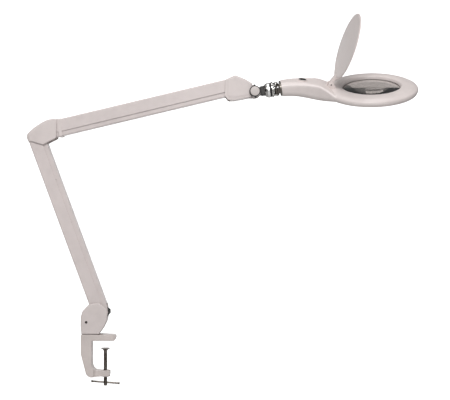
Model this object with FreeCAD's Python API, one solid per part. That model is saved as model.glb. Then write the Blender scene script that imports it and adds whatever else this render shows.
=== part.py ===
import FreeCAD, Part
import math
import os

# Magnifying lamp on a spring-balanced parallelogram arm, held by a table clamp.
# Units are millimetres. +X points from the clamp to the lens, +Y points to the
# rear of the lamp, +Z is up. The origin is the centre of the clamp's seat, the
# underside of the upper jaw on the axis of the clamp screw.

V = FreeCAD.Vector

# ---------------------------------------------------------------- dimensions
# clamp
JAW_HALF = 19.0          # half width of the clamp casting along Y
THROAT_DEPTH = 27.8      # web face to screw axis
THROAT_OPEN = 63.0       # seat to lower jaw
SCREW_R = 4.0            # M8 clamp screw, modelled on its crests
SCREW_HOLE_R = 4.06
PAD_TOP = -16.7          # face of the swivel pad
PAD_R = 10.0
BAR_R = 2.0              # sliding tommy bar
BAR_HOLE_R = 2.4
BAR_LEN = 61.0
BAR_Z = -90.1
BAR_TILT = 4.4           # degrees, the bar hangs at an angle in its loose hole
SWIVEL_X = -38.5         # vertical swivel axis of the base knuckle
SPIGOT_R = 6.25
SPIGOT_HOLE_R = 6.31

# arms
ARM_L = 400.0            # pivot to pivot
PIVOT_D = 20.3           # main pivot to tie pivot
LEAN = 20.3              # lower arm, degrees left of vertical
RISE = 13.4              # upper arm, degrees above horizontal
MAIN_HALF = 17.0         # main channel half width
TIE_HALF = 14.5          # tie channel half width
SHEET = 1.5
MAIN_BACK = 7.0          # pivot line to the back face of the main channel
MAIN_FRONT = 19.0        # pivot line to the lips of the main channel
TIE_OUT = 9.0            # tie pivot line to the web of the tie channel
TIE_IN = 4.5
MAIN_END_R = 6.0
TIE_END_R = 6.0
PIN_P_R = 4.0
PIN_Q_R = 3.0
FIT = 0.06               # radial clearance of the running fits
COVER_HALF = 21.0
COVER_T = 2.0
RIM_T = 1.6
BRACKET_HALF = 12.5

P1 = (-20.0, 61.4)
Q1 = (0.3, 61.4)
P2 = (P1[0] - ARM_L * math.sin(math.radians(LEAN)), P1[1] + ARM_L * math.cos(math.radians(LEAN)))
Q2 = (P2[0] + PIVOT_D, P2[1])
P3 = (-119.8, 459.0)
Q3 = (P3[0], P3[1] - PIVOT_D)
P4 = (P3[0] + ARM_L * math.cos(math.radians(RISE)), P3[1] + ARM_L * math.sin(math.radians(RISE)))
Q4 = (P4[0], P4[1] - PIVOT_D)

# head joints
TILT = (319.2, 530.0)    # tilt axis, along Y
NECK_PITCH = 8.5         # degrees, swivel axis above horizontal
HEAD_ROLL = 23.5         # degrees about the swivel axis, lens side towards -Y
HEAD_DROOP = 5.3         # degrees, lens plane below the swivel axis
PAN_AT = 46.5            # tilt axis to pan pin
HANDLE_AT = 57.4         # tilt axis to the end of the handle

# head
RING_R = 100.0
LENS_R = 63.4            # 127 mm lens
OPEN_R = 61.5
HANDLE_END = -194.0      # handle end from the lens centre
HANDLE_RISE = 13.9
LID_R = 72.5
LID_C = 1.0
LID_HINGE = (-87.5, 17.5)
LID_OPEN = 69.0          # degrees from closed
SWITCH_X = -148.0
SWITCH_R = 8.0


# ------------------------------------------------------------------- helpers
def rounded(pts, radii, f):
    """Closed wire through 2-D points with a radius at each corner."""
    n = len(pts)
    if not isinstance(radii, (list, tuple)):
        radii = [radii] * n
    ins, mids, outs = [], [], []
    for i in range(n):
        p = pts[i]
        a = pts[i - 1]
        b = pts[(i + 1) % n]
        r = radii[i]
        va = (a[0] - p[0], a[1] - p[1])
        vb = (b[0] - p[0], b[1] - p[1])
        la, lb = math.hypot(*va), math.hypot(*vb)
        va = (va[0] / la, va[1] / la)
        vb = (vb[0] / lb, vb[1] / lb)
        cosang = max(-1.0, min(1.0, va[0] * vb[0] + va[1] * vb[1]))
        half = math.acos(cosang) / 2
        if r <= 0 or half > math.radians(89.0):
            ins.append(p)
            outs.append(p)
            mids.append(None)
            continue
        t = r / math.tan(half)
        bis = (va[0] + vb[0], va[1] + vb[1])
        lbis = math.hypot(*bis)
        c = (p[0] + bis[0] / lbis * r / math.sin(half), p[1] + bis[1] / lbis * r / math.sin(half))
        ins.append((p[0] + va[0] * t, p[1] + va[1] * t))
        outs.append((p[0] + vb[0] * t, p[1] + vb[1] * t))
        mids.append((c[0] - bis[0] / lbis * r, c[1] - bis[1] / lbis * r))
    edges = []
    for i in range(n):
        if mids[i] is not None:
            edges.append(Part.Arc(f(*ins[i]), f(*mids[i]), f(*outs[i])).toShape())
        j = (i + 1) % n
        if math.hypot(outs[i][0] - ins[j][0], outs[i][1] - ins[j][1]) > 1e-6:
            edges.append(Part.makeLine(f(*outs[i]), f(*ins[j])))
    return Part.Wire(edges)


def prism(pts, radii, y0, y1):
    """Outline in X, Z pushed along Y."""
    w = rounded(pts, radii, lambda p, q: V(p, y0, q))
    return Part.Face(w).extrude(V(0, y1 - y0, 0))


def lprism(pts, radii, c0, c1):
    """Outline in the local x, y plane pushed along local z."""
    w = rounded(pts, radii, lambda p, q: V(p, q, c0))
    return Part.Face(w).extrude(V(0, 0, c1 - c0))


def box(x0, y0, z0, x1, y1, z1):
    return Part.makeBox(x1 - x0, y1 - y0, z1 - z0, V(x0, y0, z0))


def cyl(x, y, z, r, h, d=(0, 0, 1)):
    return Part.makeCylinder(r, h, V(x, y, z), V(*d))


def cyl_y(p, r, y0, y1):
    return Part.makeCylinder(r, y1 - y0, V(p[0], y0, p[1]), V(0, 1, 0))


def revolved(profile, radii=0, axis_x=0.0):
    """Profile of (radius, z) turned about a line along z through (axis_x, 0)."""
    w = rounded(profile, radii, lambda p, q: V(axis_x + p, 0, q))
    return Part.Face(w).revolve(V(axis_x, 0, 0), V(0, 0, 1), 360)


def turned_x(profile, radii=0):
    """Profile of (x, radius) turned about the local x axis."""
    w = rounded(profile, radii, lambda p, q: V(p, 0, q))
    return Part.Face(w).revolve(V(0, 0, 0), V(1, 0, 0), 360)


def frame(origin, ex, ey, ez):
    m = FreeCAD.Matrix(ex.x, ey.x, ez.x, origin.x,
                       ex.y, ey.y, ez.y, origin.y,
                       ex.z, ey.z, ez.z, origin.z,
                       0, 0, 0, 1)
    return FreeCAD.Placement(m)


def placed(shape, place):
    s = shape.copy()
    s.Placement = place.multiply(s.Placement)
    return s


def fused(first, *rest):
    s = first
    for r in rest:
        s = s.fuse(r)
    return s.removeSplitter()


def filleted(shape, r, pick):
    edges = [e for e in shape.Edges if pick(e)]
    return shape.makeFillet(r, edges) if edges else shape


os.makedirs("parts", exist_ok=True)
volumes = {}


def save(name, shape):
    solids = shape.Solids
    out = solids[0] if len(solids) == 1 else Part.makeCompound(solids)
    assert solids and all(s.isValid() and s.Volume > 0.5 for s in solids), name
    out.exportStep("parts/" + name + ".step")
    volumes[name] = (len(solids), sum(s.Volume for s in solids))


# --------------------------------------------------------------------- clamp
# C-shaped casting: seat above, threaded lower jaw below, bore for the swivel
clamp_outline = [
    (-51.0, 13.9), (-51.0, -28.0), (-39.4, -72.3), (-31.5, -78.0), (3.0, -75.9), (10.2, -74.5),
    (10.2, -64.6), (-THROAT_DEPTH, -THROAT_OPEN), (-THROAT_DEPTH, 0.0), (20.6, 0.0), (23.4, 7.2), (20.8, 12.0), (-30.0, 13.9),
]
clamp_radii = [3.0, 30.0, 9.0, 9.0, 8.0, 2.0, 2.0, 12.5, 1.2, 1.0, 1.0, 2.5, 0.0]
clamp_body = prism(clamp_outline, clamp_radii, -JAW_HALF, JAW_HALF)
# the lower jaw narrows to a boss round the screw
clamp_body = clamp_body.cut(box(-22.0, -30, -90, 15, -11.5, -55))
clamp_body = clamp_body.cut(box(-22.0, 11.5, -90, 15, 30, -55))
clamp_body = clamp_body.fuse(cyl(0, 0, -77.6, 10.2, 14.0))
clamp_body = clamp_body.cut(cyl(0, 0, -90, SCREW_HOLE_R, 40))
clamp_body = clamp_body.cut(cyl(SWIVEL_X, 0, -22.0, SPIGOT_HOLE_R, 50))
clamp_body = clamp_body.removeSplitter()
save("clamp_body", clamp_body)

pad = revolved([(0, -22.2), (3.0, -22.2), (4.8, -20.4), (5.2, -19.0), (PAD_R, PAD_TOP - 1.0),
                (PAD_R, PAD_TOP), (0, PAD_TOP)])
pad = pad.cut(cyl(0, 0, -23.0, 2.36, 4.5))
save("clamp_pad", pad)

screw = fused(cyl(0, 0, -97.0, SCREW_R, 97.0 - 22.6), cyl(0, 0, -22.7, 2.3, 4.0))
screw = screw.cut(cyl(-10, 0, BAR_Z, BAR_HOLE_R, 20, (1, 0, 0)))
save("clamp_screw", screw)

bar_dir = V(math.cos(math.radians(BAR_TILT)), 0, -math.sin(math.radians(BAR_TILT)))
bar_c = V(0, 0, BAR_Z)
bar_a = bar_c - bar_dir * (BAR_LEN / 2)
bar = Part.makeCylinder(BAR_R, BAR_LEN, bar_a, bar_dir)
bar = bar.fuse(Part.makeCylinder(2.9, 2.4, bar_a, bar_dir))
bar = bar.fuse(Part.makeCylinder(2.9, 2.4, bar_a + bar_dir * (BAR_LEN - 2.4), bar_dir)).removeSplitter()
save("clamp_tommy_bar", bar)


# ------------------------------------------------------------ knuckle covers
def away(p, u, off, side):
    """Point beside p, off to one side of direction u in the X, Z plane."""
    n = (u[1], -u[0])
    return (p[0] + side * off * n[0], p[1] + side * off * n[1])


def opening(p, q, u_back, u_tie, d, off_back, off_tie):
    """Space swept by an arm that leaves the knuckle along d * u."""
    a = away(p, u_back, off_back, -1)
    b = away(q, u_tie, off_tie, 1)
    far_a = (a[0] + d * u_back[0] * 90, a[1] + d * u_back[1] * 90)
    far_b = (b[0] + d * u_tie[0] * 90, b[1] + d * u_tie[1] * 90)
    mid = (a[0] + b[0]) / 2, (a[1] + b[1]) / 2
    s = prism([a, far_a, far_b, b, mid], 0, -18.9, 18.9)
    s = s.fuse(cyl_y(p, off_back, -18.9, 18.9)).fuse(cyl_y(q, off_tie - 1.6, -18.9, 18.9))
    return s


def inset(pts, d):
    """Polygon moved inwards by d; the outline runs clockwise seen from the front."""
    n = len(pts)
    area = sum(pts[i][0] * pts[(i + 1) % n][1] - pts[(i + 1) % n][0] * pts[i][1] for i in range(n))
    sgn = 1.0 if area > 0 else -1.0
    lines = []
    for i in range(n):
        a, b = pts[i], pts[(i + 1) % n]
        dx, dz = b[0] - a[0], b[1] - a[1]
        ln = math.hypot(dx, dz)
        nx, nz = -dz / ln * sgn, dx / ln * sgn
        lines.append((a[0] + nx * d, a[1] + nz * d, dx / ln, dz / ln))
    out = []
    for i in range(n):
        x1, z1, dx1, dz1 = lines[i - 1]
        x2, z2, dx2, dz2 = lines[i]
        det = dx1 * (-dz2) + dx2 * dz1
        if abs(det) < 1e-6:
            out.append((x2, z2))
            continue
        t = ((x2 - x1) * (-dz2) + dx2 * (z2 - z1)) / det
        out.append((x1 + dx1 * t, z1 + dz1 * t))
    return out


def covers(outline, radii, cuts, bosses, core):
    """Front and rear cover shells: a face 2 mm thick with a rim on the edges no arm sweeps."""
    inner = inset(outline, RIM_T)
    inner_r = [max(r - RIM_T, 0) for r in radii]
    result = []
    for s in (-1, 1):
        y0, y1 = sorted((s * COVER_HALF, s * 0.06))
        shell = prism(outline, radii, y0, y1)
        face_y = s * COVER_HALF
        shell = filleted(shell, 1.2, lambda e: all(abs(v.Point.y - face_y) < 1e-4 for v in e.Vertexes))
        yi0, yi1 = sorted((s * (COVER_HALF - COVER_T), -s * 5.0))
        shell = shell.cut(prism(inner, inner_r, yi0, yi1))
        for c in cuts:
            shell = shell.cut(c)
        shell = shell.cut(prism(inset(core, -0.3), 0, -BRACKET_HALF - 0.3, BRACKET_HALF + 0.3))
        for (x, z, front) in bosses:
            if (s < 0) == front:
                # boss that the screw bites into
                a, b = sorted((s * (COVER_HALF - COVER_T + 0.1), s * (BRACKET_HALF + 0.1)))
                shell = shell.fuse(cyl_y((x, z), 3.4, a, b))
                a, b = sorted((s * (COVER_HALF - COVER_T - 0.6), s * 10.0))
                shell = shell.cut(cyl_y((x, z), 1.5, a, b))
            else:
                # countersunk hole for the head
                a, b = sorted((s * 25.0, s * 10.0))
                shell = shell.cut(cyl_y((x, z), 1.7, a, b))
                a, b = sorted((s * 25.0, s * (COVER_HALF - 1.3)))
                shell = shell.cut(cyl_y((x, z), 2.9, a, b))
        shell = shell.removeSplitter()
        keep = max(shell.Solids, key=lambda q: q.Volume)
        result.append(keep)
    return result


def cover_screw(x, z, head_side):
    """Pan screw from one cover through the bracket into the other cover's boss."""
    s = head_side
    a, b = sorted((s * (COVER_HALF - 0.1), s * (COVER_HALF - 1.3)))
    head = cyl_y((x, z), 2.8, a, b)
    a, b = sorted((s * (COVER_HALF - 1.3), -s * (COVER_HALF - 3.4)))
    sc = head.fuse(cyl_y((x, z), 1.48, a, b)).removeSplitter()
    a, b = sorted((s * (COVER_HALF + 1.0), s * (COVER_HALF - 0.75)))
    slot = prism([(x - 1.5, z - 0.35), (x + 1.5, z - 0.35), (x + 1.5, z + 0.35), (x - 1.5, z + 0.35)], 0, a, b)
    slot2 = prism([(x - 0.35, z - 1.5), (x + 0.35, z - 1.5), (x + 0.35, z + 1.5), (x - 0.35, z + 1.5)], 0, a, b)
    return sc.cut(slot).cut(slot2)


def lean_dir(deg):
    """Unit vector deg degrees left of vertical."""
    return (-math.sin(math.radians(deg)), math.cos(math.radians(deg)))


def rise_dir(deg):
    return (math.cos(math.radians(deg)), math.sin(math.radians(deg)))


LOW_L, LOW_R = LEAN + 20.0, LEAN - 35.0     # lower arm limits, degrees left of vertical
UP_D, UP_U = RISE - 30.0, RISE + 36.0       # upper arm limits, degrees above horizontal

# base knuckle
base_outline = [(-49.4, 14.6), (-51.2, 31.9), (-50.8, 51.4), (-47.4, 63.1), (-33.4, 78.2), (-13.5, 81.5),
                (-4.5, 76.0), (4.2, 67.5), (6.8, 58.2), (3.6, 40.9), (-2.4, 28.2), (-12.0, 14.6)]
base_radii = [0.8, 12, 8, 8, 5, 5, 6, 6, 8, 12, 12, 1.2]
base_core = [(-46.5, 14.2), (-47.5, 32.0), (-46.5, 49.0), (-28.5, 62.0), (-25.5, 69.0), (-17.0, 70.2),
             (0.3, 70.8), (9.8, 66.0), (10.6, 57.5), (4.6, 51.6), (0.4, 41.5), (-6.5, 29.4), (-16.5, 14.2)]
base_cuts = [opening(P1, Q1, lean_dir(LOW_L), lean_dir(LOW_R), 1, 8.2, 10.5), cyl_y(Q1, 10.9, -18.9, 18.9)]
base_front, base_rear = covers(base_outline, base_radii, base_cuts, [(-38.9, 40.0, False), (-14.0, 38.0, True)], base_core)
# the cable gland sits in the lower rear of the rear cover
GLAND = (-27.5, 25.5)
base_rear = base_rear.cut(cyl_y(GLAND, 4.06, 10, 25))
save("base_cover_front", base_front)
save("base_cover_rear", base_rear)
gland = fused(cyl_y(GLAND, 4.0, 18.4, 22.4), cyl_y(GLAND, 5.4, 21.1, 23.0))
gland = gland.cut(cyl_y(GLAND, 2.6, 10, 30))
save("cable_gland", gland)

bracket = prism(base_core, [2, 8, 6, 4, 4, 4, 3, 4, 4, 4, 8, 8, 2], -BRACKET_HALF, BRACKET_HALF)
bracket = bracket.cut(prism([(-32, 30), (-30, 48), (-22, 75), (15, 75), (5, 45), (-12, 30)],
                            [3, 5, 0, 0, 5, 5], -9.0, 9.0))
bracket = bracket.cut(cyl_y(P1, PIN_P_R, -20, 20)).cut(cyl_y(Q1, PIN_Q_R, -20, 20))
for x, z in ((-38.9, 40.0), (-14.0, 38.0)):
    bracket = bracket.cut(cyl_y((x, z), 1.6, -20, 20))
# turned spigot, one piece with the bracket
spigot = cyl(SWIVEL_X, 0, -21.0, SPIGOT_R, 47.0)
spigot = spigot.cut(revolved([(SPIGOT_R - 0.8, -10), (SPIGOT_R + 2, -10), (SPIGOT_R + 2, -6), (SPIGOT_R - 0.8, -6)],
                             0, SWIVEL_X))
bracket = bracket.fuse(spigot)
save("base_bracket", bracket.removeSplitter())
save("base_cover_screws", Part.makeCompound([cover_screw(-38.9, 40.0, -1), cover_screw(-14.0, 38.0, 1)]))


def main_pin(p):
    """Shouldered pivot pin with a flat head at each end."""
    s = cyl_y(p, PIN_P_R, -18.4, 18.4)
    return s.fuse(cyl_y(p, 5.4, -18.4, -17.2)).fuse(cyl_y(p, 5.4, 17.2, 18.4)).removeSplitter()


def tie_pin(q):
    s = cyl_y(q, PIN_Q_R, -15.25, 15.25)
    return s.fuse(cyl_y(q, 4.4, -15.25, -14.65)).fuse(cyl_y(q, 4.4, 14.65, 15.25)).removeSplitter()


def spacers(p):
    """Nylon spacers between the bracket and the walls of the main channel."""
    out = []
    for a in (-15.4, BRACKET_HALF):
        out.append(cyl_y(p, 5.8, a, a + 2.9).cut(cyl_y(p, PIN_P_R, a - 1, a + 4)))
    return out


save("base_main_pin", main_pin(P1))
save("base_tie_pin", tie_pin(Q1))
save("base_spacers", Part.makeCompound(spacers(P1)))


# ---------------------------------------------------------------------- arms
# local x runs from the lower pivot to the upper one, local y towards the tie,
# local z along +Y
def arm_frame(p, u):
    return frame(V(p[0], 0, p[1]), V(u[0], 0, u[1]), V(u[1], 0, -u[0]), V(0, 1, 0))


def channel(half, b0, b1, radius, outline, out_radii, web_from, web_to, web_low):
    """Folded channel: side walls to the outline, web only between the knuckles."""
    if web_low:
        prof = [(b1, half), (b0, half), (b0, -half), (b1, -half), (b1, -half + SHEET),
                (b0 + SHEET, -half + SHEET), (b0 + SHEET, half - SHEET), (b1, half - SHEET)]
        rr = [0.4, radius, radius, 0.4, 0.4, 1.0, 1.0, 0.4]
    else:
        prof = [(b0, half), (b1, half), (b1, -half), (b0, -half), (b0, -half + SHEET),
                (b1 - SHEET, -half + SHEET), (b1 - SHEET, half - SHEET), (b0, half - SHEET)]
        rr = [0.4, radius, radius, 0.4, 0.4, 1.0, 1.0, 0.4]
    w = rounded(prof, rr, lambda p, q: V(-20, p, q))
    s = Part.Face(w).extrude(V(ARM_L + 40, 0, 0))
    s = s.common(lprism(outline, out_radii, -half - 1, half + 1))
    inner = half - SHEET - 0.001
    s = s.cut(box(-30, b0 - 5, -inner, web_from, b1 + 5, inner))
    s = s.cut(box(web_to, b0 - 5, -inner, ARM_L + 30, b1 + 5, inner))
    return s


def main_channel():
    o = [(-MAIN_END_R, -MAIN_END_R), (10, -MAIN_BACK), (ARM_L - 10, -MAIN_BACK), (ARM_L + MAIN_END_R, -MAIN_END_R),
         (ARM_L + MAIN_END_R, 5.0), (ARM_L - 17, MAIN_FRONT), (17, MAIN_FRONT), (-MAIN_END_R, 5.0)]
    s = channel(MAIN_HALF, -MAIN_BACK, MAIN_FRONT, 2.2, o, [5.4, 0, 0, 5.4, 5, 3, 3, 5], 17.0, ARM_L - 17.0, True)
    for a in (0, ARM_L):
        s = s.cut(cyl(a, 0, -20, PIN_P_R + FIT, 40))
    s = s.cut(cyl(84, 3.0, -20, 2.5, 40))
    return s


def tie_channel():
    o = [(-TIE_END_R, -TIE_IN), (ARM_L + TIE_END_R, -TIE_IN), (ARM_L + TIE_END_R, 5.2), (ARM_L - 12, TIE_OUT),
         (12, TIE_OUT), (-TIE_END_R, 5.2)]
    s = channel(TIE_HALF, -TIE_IN, TIE_OUT, 1.8, o, [4.2, 4.2, 5, 0, 0, 5], 16.0, ARM_L - 16.0, False)
    for a in (0, ARM_L):
        s = s.cut(cyl(a, 0, -20, PIN_Q_R + FIT, 40))
    s = s.cut(cyl(300, -1.0, -20, 2.0, 40))
    return s


def springs(offset):
    """Pair of extension springs from the main anchor to the tie anchor, as plain rods."""
    a, b = V(89.0, 3.4, 0), V(285.0, offset - 3.0, 0)
    d = b - a
    ln = d.Length
    out = []
    for c in (-5.5, 5.5):
        out.append(Part.makeCylinder(4.2, ln, a + V(0, 0, c), d))
    return out


def arm(prefix, p, q, u, ang):
    fm = arm_frame(p, u)
    ft = arm_frame(q, u)
    off = PIVOT_D * math.cos(math.radians(ang))
    save(prefix + "_main_channel", placed(main_channel(), fm))
    save(prefix + "_tie_channel", placed(tie_channel(), ft))
    save(prefix + "_springs", placed(Part.makeCompound(springs(off)), fm))
    save(prefix + "_main_anchor", placed(cyl(84, 3.0, -16.9, 2.5, 33.8), fm))
    save(prefix + "_tie_anchor", placed(cyl(300, -1.0, -14.4, 2.0, 28.8), ft))


U1 = lean_dir(LEAN)
U2 = rise_dir(RISE)
arm("lower", P1, Q1, U1, LEAN)
arm("upper", P3, Q3, U2, RISE)

# sleeve over the elbow end of the upper arm, round both channels
off2 = PIVOT_D * math.cos(math.radians(RISE))
lo, hi = -MAIN_BACK - 1.0, PIVOT_D + TIE_OUT + 1.2
sleeve = Part.Face(rounded([(lo, 18.2), (hi, 18.2), (hi, -18.2), (lo, -18.2)], 3.0, lambda p, q: V(19.5, p, q))).extrude(V(9.5, 0, 0))
sleeve = sleeve.cut(Part.Face(rounded([(lo + 1, 17.02), (hi - 1, 17.02), (hi - 1, -17.02), (lo + 1, -17.02)], 2.2,
                                      lambda p, q: V(10, p, q))).extrude(V(30, 0, 0)))
save("upper_arm_sleeve", placed(sleeve, arm_frame(P3, U2)))


# --------------------------------------------------------------------- elbow
elbow_outline = [(-165.6, 442.8), (-155.2, 450.0), (-121.6, 471.2), (-113.0, 473.6), (-100.8, 472.6),
                 (-103.2, 431.2), (-121.0, 421.6), (-131.0, 416.0), (-156.0, 424.0), (-162.2, 421.6), (-166.8, 433.0)]
elbow_radii = [7, 20, 8, 6, 1.2, 1.2, 10, 5, 6, 3, 6]
elbow_cuts = [opening(P2, Q2, lean_dir(LOW_R), lean_dir(LOW_L), -1, 8.0, 10.5),
              opening(P3, Q3, rise_dir(UP_U), rise_dir(UP_D), 1, 9.4, 12.1)]
EB = [(-150.5, 445.5), (-134.0, 457.0)]
elbow_core = [(-163.4, 439.6), (-157.0, 446.6), (-124.0, 466.2), (-112.6, 464.0), (-112.8, 434.0), (-119.8, 431.4),
              (-138.0, 429.4), (-158.5, 428.8)]
elbow_front, elbow_rear = covers(elbow_outline, elbow_radii, elbow_cuts,
                                 [(EB[0][0], EB[0][1], True), (EB[1][0], EB[1][1], True)], elbow_core)
save("elbow_cover_front", elbow_front)
save("elbow_cover_rear", elbow_rear)
eb = prism(elbow_core, [6, 6, 6, 6, 6, 5, 8, 6], -BRACKET_HALF, BRACKET_HALF)
eb = eb.cut(prism([(-175, 443), (-151, 443), (-151, 434), (-131, 434), (-131, 420), (-175, 420)], [0, 2, 2, 2, 0, 0], -9, 9))
eb = eb.cut(prism([(-127, 470), (-100, 475), (-100, 425), (-127, 425)], [2, 0, 0, 2], -9, 9))
for p in (P2, P3):
    eb = eb.cut(cyl_y(p, PIN_P_R, -20, 20))
for q in (Q2, Q3):
    eb = eb.cut(cyl_y(q, PIN_Q_R, -20, 20))
for x, z in EB:
    eb = eb.cut(cyl_y((x, z), 1.6, -20, 20))
save("elbow_bracket", eb.removeSplitter())
save("elbow_main_pins", Part.makeCompound([main_pin(P2), main_pin(P3)]))
save("elbow_tie_pins", Part.makeCompound([tie_pin(Q2), tie_pin(Q3)]))
save("elbow_spacers", Part.makeCompound(spacers(P2) + spacers(P3)))
save("elbow_cover_screws", Part.makeCompound([cover_screw(x, z, 1) for x, z in EB]))

# -------------------------------------------------------------- head knuckle
hk_outline = [(255.9, 555.3), (277.1, 565.0), (298.3, 556.6), (313.3, 547.6), (311.4, 518.6), (275.6, 511.6),
              (262.5, 511.6), (255.0, 521.0)]
hk_radii = [1.5, 5, 18, 2.0, 2.0, 12, 6, 5]
hk_cuts = [opening(P4, Q4, rise_dir(UP_D), rise_dir(UP_U), -1, 8.0, 10.5),
           cyl_y(TILT, 17.6, -18.9, 18.9), cyl_y(TILT, 8.3, -30, -18)]
HB = [(285.5, 549.0), (287.5, 523.0)]
hk_core = [(262.4, 552.0), (269.3, 559.2), (278.0, 560.4), (297.0, 552.4), (319.2, 543.0), (331.0, 541.0), (331.0, 519.0),
           (319.2, 517.0), (290.0, 518.0), (276.0, 516.4), (262.4, 524.5)]
hk_front, hk_rear = covers(hk_outline, hk_radii, hk_cuts, [(HB[0][0], HB[0][1], True), (HB[1][0], HB[1][1], True)], hk_core)
save("head_knuckle_cover_front", hk_front)
save("head_knuckle_cover_rear", hk_rear)
hb = prism(hk_core, [6, 3, 6, 6, 6, 10, 10, 6, 6, 6, 6], -BRACKET_HALF, BRACKET_HALF)
# fork for the eye of the neck, and pocket between the pivots
hb = hb.cut(prism([(305.5, 560), (340, 560), (340, 500), (305.5, 500)], 0, -7.5, 7.5))
hb = hb.cut(prism([(250, 575), (278.5, 575), (278.5, 505), (250, 505)], 0, -9.0, 9.0))
hb = hb.cut(cyl_y(P4, PIN_P_R, -20, 20)).cut(cyl_y(Q4, PIN_Q_R, -20, 20)).cut(cyl_y(TILT, 4.0, -20, 20))
for x, z in HB:
    hb = hb.cut(cyl_y((x, z), 1.6, -20, 20))
save("head_knuckle_bracket", hb.removeSplitter())
save("head_knuckle_main_pin", main_pin(P4))
save("head_knuckle_tie_pin", tie_pin(Q4))
save("head_knuckle_spacers", Part.makeCompound(spacers(P4)))
save("head_knuckle_screws", Part.makeCompound([cover_screw(x, z, 1) for x, z in HB]))

# tilt bolt with a domed head at the rear, knob at the front
tilt_bolt = fused(cyl_y(TILT, 4.0, -30.0, 12.6), cyl_y(TILT, 7.6, 12.6, 17.2))
save("tilt_bolt", tilt_bolt)
knob = cyl_y(TILT, 13.0, -29.6, -21.6).fuse(cyl_y(TILT, 8.0, -21.6, -12.8))
tilt_tab = math.radians(5.0)
for s in (1, -1):
    d = (-math.sin(tilt_tab) * s, math.cos(tilt_tab) * s)
    n = (d[1], -d[0])
    tab = [(TILT[0] + d[0] * 10 + n[0] * 3.4, TILT[1] + d[1] * 10 + n[1] * 3.4),
           (TILT[0] + d[0] * 17.0 + n[0] * 2.2, TILT[1] + d[1] * 17.0 + n[1] * 2.2),
           (TILT[0] + d[0] * 17.0 - n[0] * 2.2, TILT[1] + d[1] * 17.0 - n[1] * 2.2),
           (TILT[0] + d[0] * 10 - n[0] * 3.4, TILT[1] + d[1] * 10 - n[1] * 3.4)]
    knob = knob.fuse(prism(tab, [0, 1.6, 1.6, 0], -27.0, -22.0))
knob = knob.cut(cyl_y(TILT, 4.06, -33, -10)).cut(cyl_y(TILT, 10.6, -33.0, -27.6)).cut(cyl_y(TILT, 5.5, -33, -25)).removeSplitter()
save("tilt_knob", knob)
cap = cyl_y(TILT, 11.0, -32.6, -29.65).fuse(cyl_y(TILT, 10.5, -29.65, -27.7))
cap = cap.cut(cyl_y(TILT, 5.2, -30.8, -20.0)).removeSplitter()
cap = filleted(cap, 1.4, lambda e: all(abs(v.Point.y + 32.6) < 1e-4 for v in e.Vertexes) and abs(e.Length - 2 * math.pi * 11.0) < 0.5)
save("tilt_knob_cap", cap)


# ---------------------------------------------------------------------- neck
def rot(axis, deg):
    return FreeCAD.Rotation(axis, deg)


R_S = rot(V(0, 1, 0), -NECK_PITCH).multiply(rot(V(1, 0, 0), HEAD_ROLL))
R_N = rot(V(0, 1, 0), -NECK_PITCH)
T3 = V(TILT[0], 0, TILT[1])
neck_place = FreeCAD.Placement(T3, R_N)      # local x along the swivel axis
yoke_place = FreeCAD.Placement(T3, R_S)
R_H = R_S.multiply(rot(V(0, 1, 0), HEAD_DROOP))

# eye between the fork plates, block in front of it, bore for the swivel bolt
neck = Part.makeCylinder(11.0, 14.4, V(0, -7.2, 0), V(0, 1, 0))
neck = neck.fuse(box(0, -7.2, -9.5, 14, 7.2, 9.5))
blk = Part.Face(rounded([(-11.2, -11.4), (11.2, -11.4), (11.2, 11.4), (-11.2, 11.4)], 2.0, lambda p, q: V(13.4, p, q))).extrude(V(7.4, 0, 0))
neck = neck.fuse(blk)
neck = neck.cut(Part.makeCylinder(4.06, 30, V(0, -15, 0), V(0, 1, 0)))
neck = neck.cut(Part.makeCylinder(4.06, 12.8, V(8.0, 0, 0), V(1, 0, 0)))
save("neck_block", placed(neck.removeSplitter(), neck_place))
# chrome flange, polished friction ring and nylon washer on the swivel axis
flange = turned_x([(20.85, 4.1), (20.85, 11.5), (22.3, 13.8), (26.4, 14.6), (26.4, 4.1)])
save("swivel_flange", placed(flange, neck_place))
ring = turned_x([(26.7, 4.06), (26.7, 15.4), (27.4, 16.1), (31.6, 16.1), (32.4, 15.4), (32.4, 4.06)])
save("swivel_ring", placed(ring, yoke_place))
washer = turned_x([(32.45, 4.06), (32.45, 15.2), (35.9, 15.2), (35.9, 4.06)])
save("swivel_washer", placed(washer, yoke_place))

# ---------------------------------------------------------------------- yoke
# disc across the swivel axis with two ears, the pan pin runs through the ears
yoke = turned_x([(35.95, 4.06), (35.95, 15.8), (37.0, 16.8), (39.3, 16.8), (40.0, 16.0), (40.0, 4.06)])
ear = Part.Face(rounded([(38.5, -7.0), (PAN_AT, -7.0), (PAN_AT + 5.4, -4.0), (PAN_AT + 5.4, 4.0), (PAN_AT, 7.0), (38.5, 7.0)],
                        [0, 4, 3, 3, 4, 0], lambda p, q: V(p, q, 0)))
up = ear.extrude(V(0, 0, 3.0))
up.translate(V(0, 0, 10.0))
dn = ear.extrude(V(0, 0, 3.0))
dn.translate(V(0, 0, -13.0))
yoke = yoke.fuse(up).fuse(dn)
yoke = yoke.cut(Part.makeCylinder(2.5, 40, V(PAN_AT, 0, -20), V(0, 0, 1)))
save("yoke", placed(yoke.removeSplitter(), yoke_place))
sw_bolt = turned_x([(9.0, 0), (9.0, 4.0), (40.3, 4.0), (40.3, 6.2), (41.9, 6.2), (41.9, 0)])
sw_bolt = sw_bolt.cut(Part.makeCylinder(4.3, 20, V(0, -10, 0), V(0, 1, 0)))
save("swivel_bolt", placed(sw_bolt, yoke_place))
pan_pin = Part.makeCylinder(2.5, 29.0, V(PAN_AT, 0, -14.5), V(0, 0, 1))
pan_pin = pan_pin.fuse(Part.makeCylinder(4.2, 1.9, V(PAN_AT, 0, 13.05), V(0, 0, 1)))
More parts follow.
